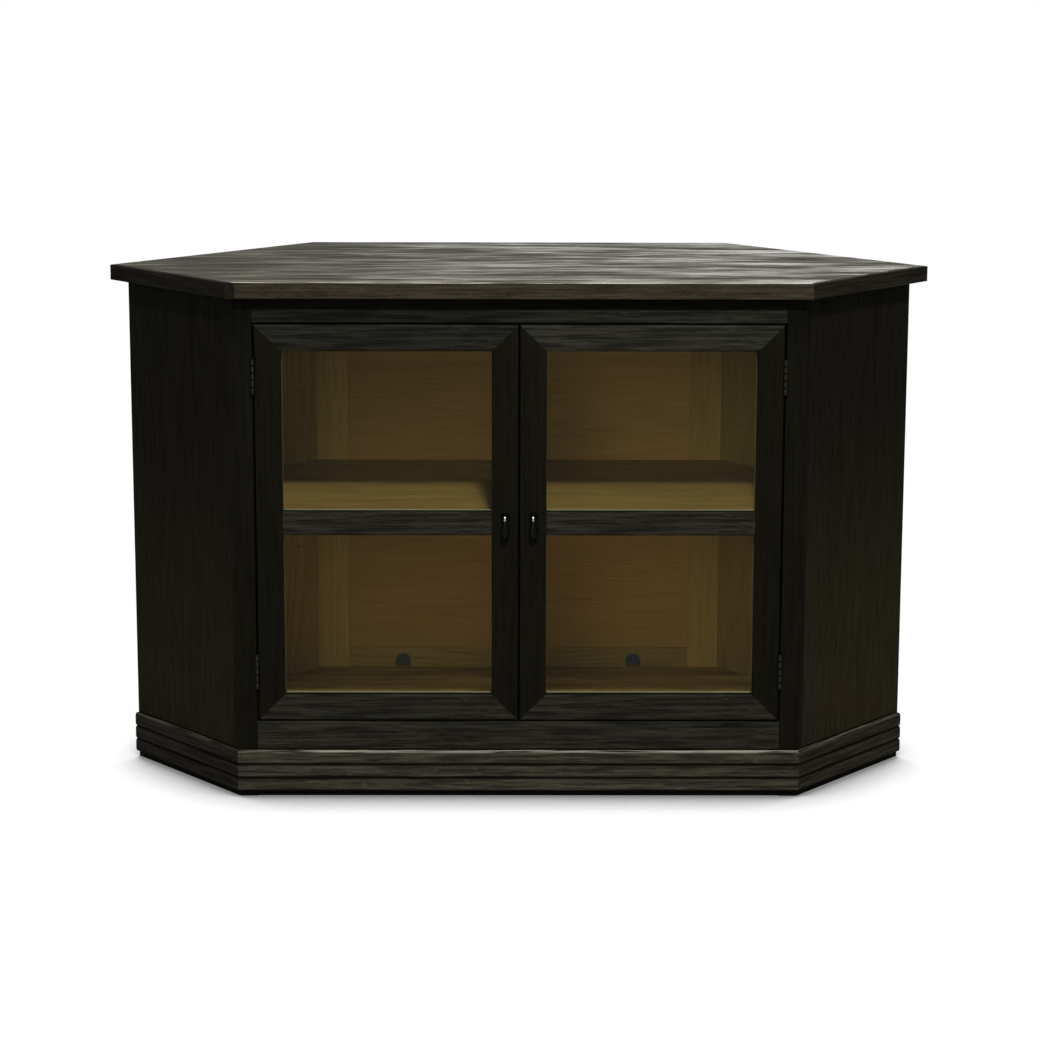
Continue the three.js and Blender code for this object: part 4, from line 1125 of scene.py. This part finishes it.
def squared_end(profile, face, solid, hand):
    """The moulding's section at the far end of a side: the furthest point along the side, and
    outwards as far as the solid goes less the distance behind the face."""
    along, across = np.array(diagonal(hand)), np.array(outward(hand))
    points = solid_points(solid)
    outwards = (points @ across).max() - (profile[:, 0] - face)
    end = (points @ along).max() * along + outwards[:, None] * across
    end[:, 2] = profile[:, 1]
    return end


def moulding(solid, start, end, grain, face_way, finish):
    """One length of moulding: its section carried straight from one end to the other."""
    points = np.concatenate([start, end])
    sides, ends = prism_faces(len(start))
    mesh = bpy.data.meshes.new(solid)
    mesh.from_pydata(points, [], sides + ends)
    tidy(mesh, 50)
    low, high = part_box("plinth_front")
    mark_reeds(mesh, low.z, high.z)
    material = oak(solid + "_oak", points, grain, face_way, finish)
    mesh_object(solid + "_moulding", mesh, solid, material)


def add_plinth():
    """Three lengths of the reeded moulding, mitred at the two front corners."""
    low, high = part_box("plinth_front")
    profile = reed_profile(low.y, high.y, low.z, high.z)
    corners = {hand: mitred_end(profile, low.y, high.x, hand) for hand in (LEFT, RIGHT)}
    moulding("plinth_front", corners[LEFT], corners[RIGHT], ACROSS, -DEPTH, STAIN_PLINTH)
    for name, hand in SIDES.items():
        solid = f"plinth_{name}"
        moulding(solid, corners[hand], squared_end(profile, low.y, solid, hand), diagonal(hand),
                 outward(hand), toned(STAIN_PLINTH_SIDE_PAINTED_SHADE, SIDE_PAINTED_LIGHT[name]))


def lean_edge(mesh, place, shift):
    """Fits a stile's narrow side closer to its neighbour at the back: points within 2 mm of the
    side's place move along x by shift times t, with t = 0 at the face and 1 at the back."""
    points = mesh_points(mesh)
    depth = (points[:, 1] - points[:, 1].min()) / np.ptp(points[:, 1])
    points[:, 0] += (np.abs(points[:, 0] - place) < 2 * MM) * depth * shift
    mesh.vertices.foreach_set("co", points.ravel())


def add_bead(solid):
    """Glazing bead: a mitred ring behind the pane whose inner edge at the back is a quarter round.
    Its upright lengths are painted darker, as painted shade."""
    low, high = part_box(solid)
    middle = (low + high) / 2
    within = high - middle - BEAD_WIDTH / 2 * Vector((1, 0, 1))
    work = merged_copy(solid)
    inner_back = [edge for edge in work.edges if all(
        point.co.y > high.y - 0.1 * MM and abs(point.co.x - middle.x) < within.x
        and abs(point.co.z - middle.z) < within.z for point in edge.verts)]
    round_edges(work, inner_back, BEAD_ROUND, 6)
    mesh = tidy(made_mesh(work, solid), 50)
    left, right = -low.x - BEAD_WIDTH, high.x - BEAD_WIDTH
    material = oak(solid + "_oak", solid_points(solid), ACROSS, -DEPTH, PALE_BEAD, CLEAR_SHINE,
                   changes=[(-ACROSS, left - BEAD_MITRE, left, SIDE_BEAD_PAINTED_SHADE),
                            (ACROSS, right - BEAD_MITRE, right, SIDE_BEAD_PAINTED_SHADE)])
    mesh_object(solid + "_wood", mesh, solid, material)


def add_doors():
    """Each door's framing, beads and panes. The meeting stiles' planed edges almost close the gap
    between the doors at the back."""
    members = {"hinge_stile": (UP, STAIN_UPRIGHT), "meeting_stile": (UP, STAIN_UPRIGHT),
               "top_rail": (ACROSS, STAIN_TOP_RAIL), "bottom_rail": (ACROSS, STAIN_RAIL),
               "mid_rail": (ACROSS, STAIN_RAIL)}
    glass = clear_glass()
    for name, hand in SIDES.items():
        for member, (grain, finish) in members.items():
            solid = f"{name}_door_{member}"
            # Painted light: the right door's top rail is painted lighter.
            if solid == "right_door_top_rail":
                finish = STAIN_TOP_RAIL_PAINTED_LIGHT
            wood = board(solid, grain, -DEPTH, finish, framing=True)
            if member == "meeting_stile":
                nearest = np.abs(mesh_points(wood.data)[:, 0]).min()
                lean_edge(wood.data, hand * nearest, hand * (DOOR_MEETING - nearest))
        for place in PLACES:
            add_bead(f"{name}_bead_{place}")
            pane = frame["nodes"][f"{name}_glass_{place}"]
            pane.data.materials.clear()
            pane.data.materials.append(glass)


def mark_knuckles(mesh, axis_y, radius, joints):
    """A painted highlight on the front of the knuckles, fainter towards their lower ends: its share is
    f^(2 + 6 s) e, with f the share of the radius that a point lies in front of the axis, s the
    share of the knuckle's length from its top and e rising from 0 at a joint to 1 at 2 mm from it."""
    points = mesh_points(mesh)
    ahead = np.clip((axis_y - points[:, 1]) / radius, 0, 1)
    from_joint = np.abs(points[:, 2:] - joints).min(1)
    down = 1 - (points[:, 2] - joints[0]) / (joints[1] - joints[0]) % 1
    knuckle_highlight = ahead ** (2 + 6 * down) * np.clip((from_joint - 0.5 * MM) / (1.5 * MM), 0, 1)
    mark(mesh, arris=knuckle_highlight)


def leaf_screws(face_x, open_way, axis_y, end_y, middle_z):
    """Three screws in a leaf, their slots turned by an angle that grows with the height."""
    parts = []
    for height in (-SCREW_PITCH, 0, SCREW_PITCH):
        centre = (face_x, (axis_y + KNUCKLE_RADIUS + end_y) / 2 + SCREW_BACK, middle_z + height)
        turn = SLOT_TURN * height
        parts += screw_head(centre, (open_way, 0, 0), (0, math.cos(turn), math.sin(turn)))
    return parts


def add_leaf(hinge, kind, hand, steel):
    """One leaf of a butt hinge: a thin plate, every other one of the five knuckles, each strapped to
    the plate, and three screws. The frame leaf holds the pin, whose tips stand out."""
    solid = f"{hinge}_{kind}_leaf"
    end_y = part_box(solid)[1].y
    low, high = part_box(f"{hinge}_frame_leaf")
    bottom, top = low.z + PIN_TIP, high.z - PIN_TIP
    pitch = (top - bottom) / KNUCKLES
    axis_x, axis_y = (low.x + high.x) / 2, low.y + KNUCKLE_RADIUS
    back_y = axis_y + KNUCKLE_RADIUS
    way = hand if kind == "frame" else -hand
    near = axis_x + way * LEAF_OFFSET
    left, right = sorted((near, near + way * LEAF_THICKNESS))
    parts = [slab((left, back_y + LEAF_START, bottom), (right, end_y, top))]
    for number in range(0 if kind == "frame" else 1, KNUCKLES, 2):
        start = bottom + number * pitch + KNUCKLE_PLAY
        end = bottom + (number + 1) * pitch - KNUCKLE_PLAY
        barrel = knuckle_profile(KNUCKLE_RADIUS, start, end, KNUCKLE_RIM, KNUCKLE_COLLAR)
        parts.append(slab((left, axis_y, start), (right, back_y + LEAF_STRAP, end)))
        parts.append(turned(barrel, (axis_x, axis_y, 0), UP))
    parts += leaf_screws(near, -way, axis_y, end_y, (bottom + top) / 2)
    if kind == "frame":
        pin = bar_profile(PIN_RADIUS, low.z, high.z, PIN_RIM)
        parts.append(turned(pin, (axis_x, axis_y, 0), UP, 24))
    mesh = tidy(joined_mesh(solid, parts))
    mark_knuckles(mesh, axis_y, KNUCKLE_RADIUS, bottom + pitch * np.arange(KNUCKLES + 1))
    mesh_object(solid + "_metal", mesh, solid, steel)


def add_hinges(steel):
    """Two butt hinges for each door."""
    for name, hand in SIDES.items():
        for place in PLACES:
            for kind in ("frame", "door"):
                add_leaf(f"{name}_hinge_{place}", kind, hand, steel)


def rose_profile():
    """Side view of the rose in metres: a flat foot, then a rim and a dome, each a quarter ellipse."""
    turn = np.linspace(0, math.pi / 2, 7)
    rim = np.stack([5.2 + 0.8 * np.cos(turn), 0.9 + 0.6 * np.sin(turn)], 1)
    dome = np.stack([3.8 * np.cos(turn), 1.5 + 0.5 * np.sin(turn)], 1)[:-1]
    return np.concatenate([[[0, 0], [6, 0]], rim, dome, [[0, 2]]]) * MM


def cubic(*corners):
    """Cubic curve through the first and last of four points, drawn towards the two between, with
    the weights (1-t)^3, 3(1-t)^2 t, 3(1-t) t^2 and t^3."""
    t = np.linspace(0, 1, 24)[:, None]
    first, second, third, fourth = (np.array(corner) for corner in corners)
    return ((1 - t) ** 3 * first + 3 * (1 - t) ** 2 * t * second
            + 3 * (1 - t) * t ** 2 * third + t ** 3 * fourth)


def pear_profile():
    """Side view of the pear in metres, downwards from its neck: two cubic curves that meet at its
    widest place."""
    widest = (6, 20.5)
    return MM * np.concatenate([
        [[0, 2.2], [1.9, 2.2]], cubic((1.9, 3), (2.5, 8), (6, 12), widest),
        cubic(widest, (6, 26.2), (3.3, 31.5), (0, 31.5))[1:]])


def mount_parts(centre, back, stand):
    """A domed rose, two cheeks with round noses, and the pin through them."""
    parts = [turned(rose_profile(), (centre.x, back, centre.z), (0, -1, 0))]
    nose = bar_profile(CHEEK_RADIUS, 0, CHEEK_THICKNESS, CHEEK_RIM)
    for cheek in (LEFT, RIGHT):
        near = centre.x + cheek * CHEEK_GAP
        left, right = sorted((near, near + cheek * CHEEK_THICKNESS))
        parts.append(slab((left, stand, centre.z - CHEEK_RADIUS),
                          (right, back - CHEEK_FOOT, centre.z + CHEEK_RADIUS)))
        parts.append(turned(nose, (near, stand, centre.z), (cheek, 0, 0)))
    pin = bar_profile(CLEVIS_PIN_RADIUS, -CLEVIS_PIN_HALF, CLEVIS_PIN_HALF, CLEVIS_PIN_RIM)
    parts.append(turned(pin, (centre.x, stand, centre.z), (1, 0, 0), 24))
    return parts


def mark_neck(mesh, pin):
    """A painted highlight on the front of the pear's neck: its share is f d, with f rising from 0 to 1
    over the first 1.5 mm in front of the pin, and d falling from 1 to 0 between 3 and 4.5 mm below it."""
    points = mesh_points(mesh)
    ahead = np.clip((pin[1] - points[:, 1]) / (1.5 * MM), 0, 1)
    below = pin[2] - points[:, 2]
    mark(mesh, arris=ahead * np.clip((4.5 * MM - below) / (1.5 * MM), 0, 1))


def add_pulls(mount_bronze, bronze):
    """Drop pulls: a mount with a clevis, and a pear with an eye round the clevis's pin."""
    for name in SIDES:
        mount, drop = f"{name}_pull_mount", f"{name}_pull_drop"
        centre, back = box_middle(mount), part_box(mount)[1].y
        pin = (centre.x, back - PIN_STAND, centre.z)
        mesh = tidy(joined_mesh(mount, mount_parts(centre, back, pin[1])))
        mesh_object(mount + "_metal", mesh, mount, mount_bronze)

        pear = turned(pear_profile(), pin, (0, 0, -1), 64)
        mesh = tidy(joined_mesh(drop, [pear, eye_ring(pin)]), 60)
        mark_neck(mesh, pin)
        mesh_object(drop + "_metal", mesh, drop, bronze)


def eye_ring(centre, steps=48, section_steps=20):
    """Ring round the clevis pin, of a section between an ellipse and a rectangle. With s and c the
    sine and cosine of b, raised to the power EYE_SQUARENESS with their sign kept, a point lies at
    EYE_HALF_WIDTH s along the pin and EYE_MIDDLE + EYE_HALF_WALL c from its axis, at the angle a."""
    around = np.linspace(0, 2 * math.pi, steps, endpoint=False)[:, None]
    section = np.linspace(0, 2 * math.pi, section_steps, endpoint=False)
    sine, cosine = (np.sign(wave) * np.abs(wave) ** EYE_SQUARENESS
                    for wave in (np.sin(section), np.cos(section)))
    along = np.broadcast_to(sine * EYE_HALF_WIDTH, (steps, section_steps))
    radius = EYE_MIDDLE + cosine * EYE_HALF_WALL
    points = np.stack([along, np.cos(around) * radius, np.sin(around) * radius], -1)
    return points.reshape(-1, 3) + np.array(centre), quads(steps, section_steps, ring=True)


def add_small_parts(steel, plastic):
    """Shelf pins, each a round bar along its hole, and the catch with its plates."""
    for name, hand in SIDES.items():
        for panel, depth in (("side", 1), ("rear", -1)):
            solid = f"shelf_pin_{name}_{panel}"
            into = Vector((-hand, depth, 0)).normalized()
            half = np.ptp(solid_points(solid) @ np.array(into)) / 2
            pin = bar_profile(SHELF_PIN_RADIUS, -half, half, SHELF_PIN_RIM)
            mesh = joined_mesh(solid, [turned(pin, box_middle(solid), into, 32)])
            mesh_object(solid + "_metal", tidy(mesh), solid, steel)
        solid = f"{name}_catch_plate"
        mesh_object(solid + "_metal", eased_mesh(solid, PLATE_EASED), solid, steel)
    mesh_object("door_catch_case", eased_mesh("door_catch", CATCH_EASED), "door_catch",
                plastic)


bpy.context.scene.view_settings.view_transform = "Standard"
add_camera()
add_room()
add_softbox("key", KEY_PLACE, KEY_AIM, KEY_SIZE, KEY_POWER)
add_softbox("fill", FILL_PLACE, FILL_AIM, FILL_SIZE, FILL_POWER)
add_softbox("rear", REAR_PLACE, REAR_AIM, REAR_SIZE, REAR_POWER)
add_top()
add_carcase()
add_plinth()
add_doors()
aged_steel = metal_with_highlight("aged_steel", *STEEL_COLOURS, roughness=0.35, wear_scale=260)
sooty = metal_with_highlight("sooty_bronze", *SOOTY_COLOURS, roughness=0.35, wear_scale=300)
blackened = metal_with_highlight("blackened_bronze", *BRONZE_COLOURS, roughness=0.3, wear_scale=220)
add_hinges(aged_steel)
add_pulls(sooty, blackened)
add_small_parts(aged_steel, black_plastic())
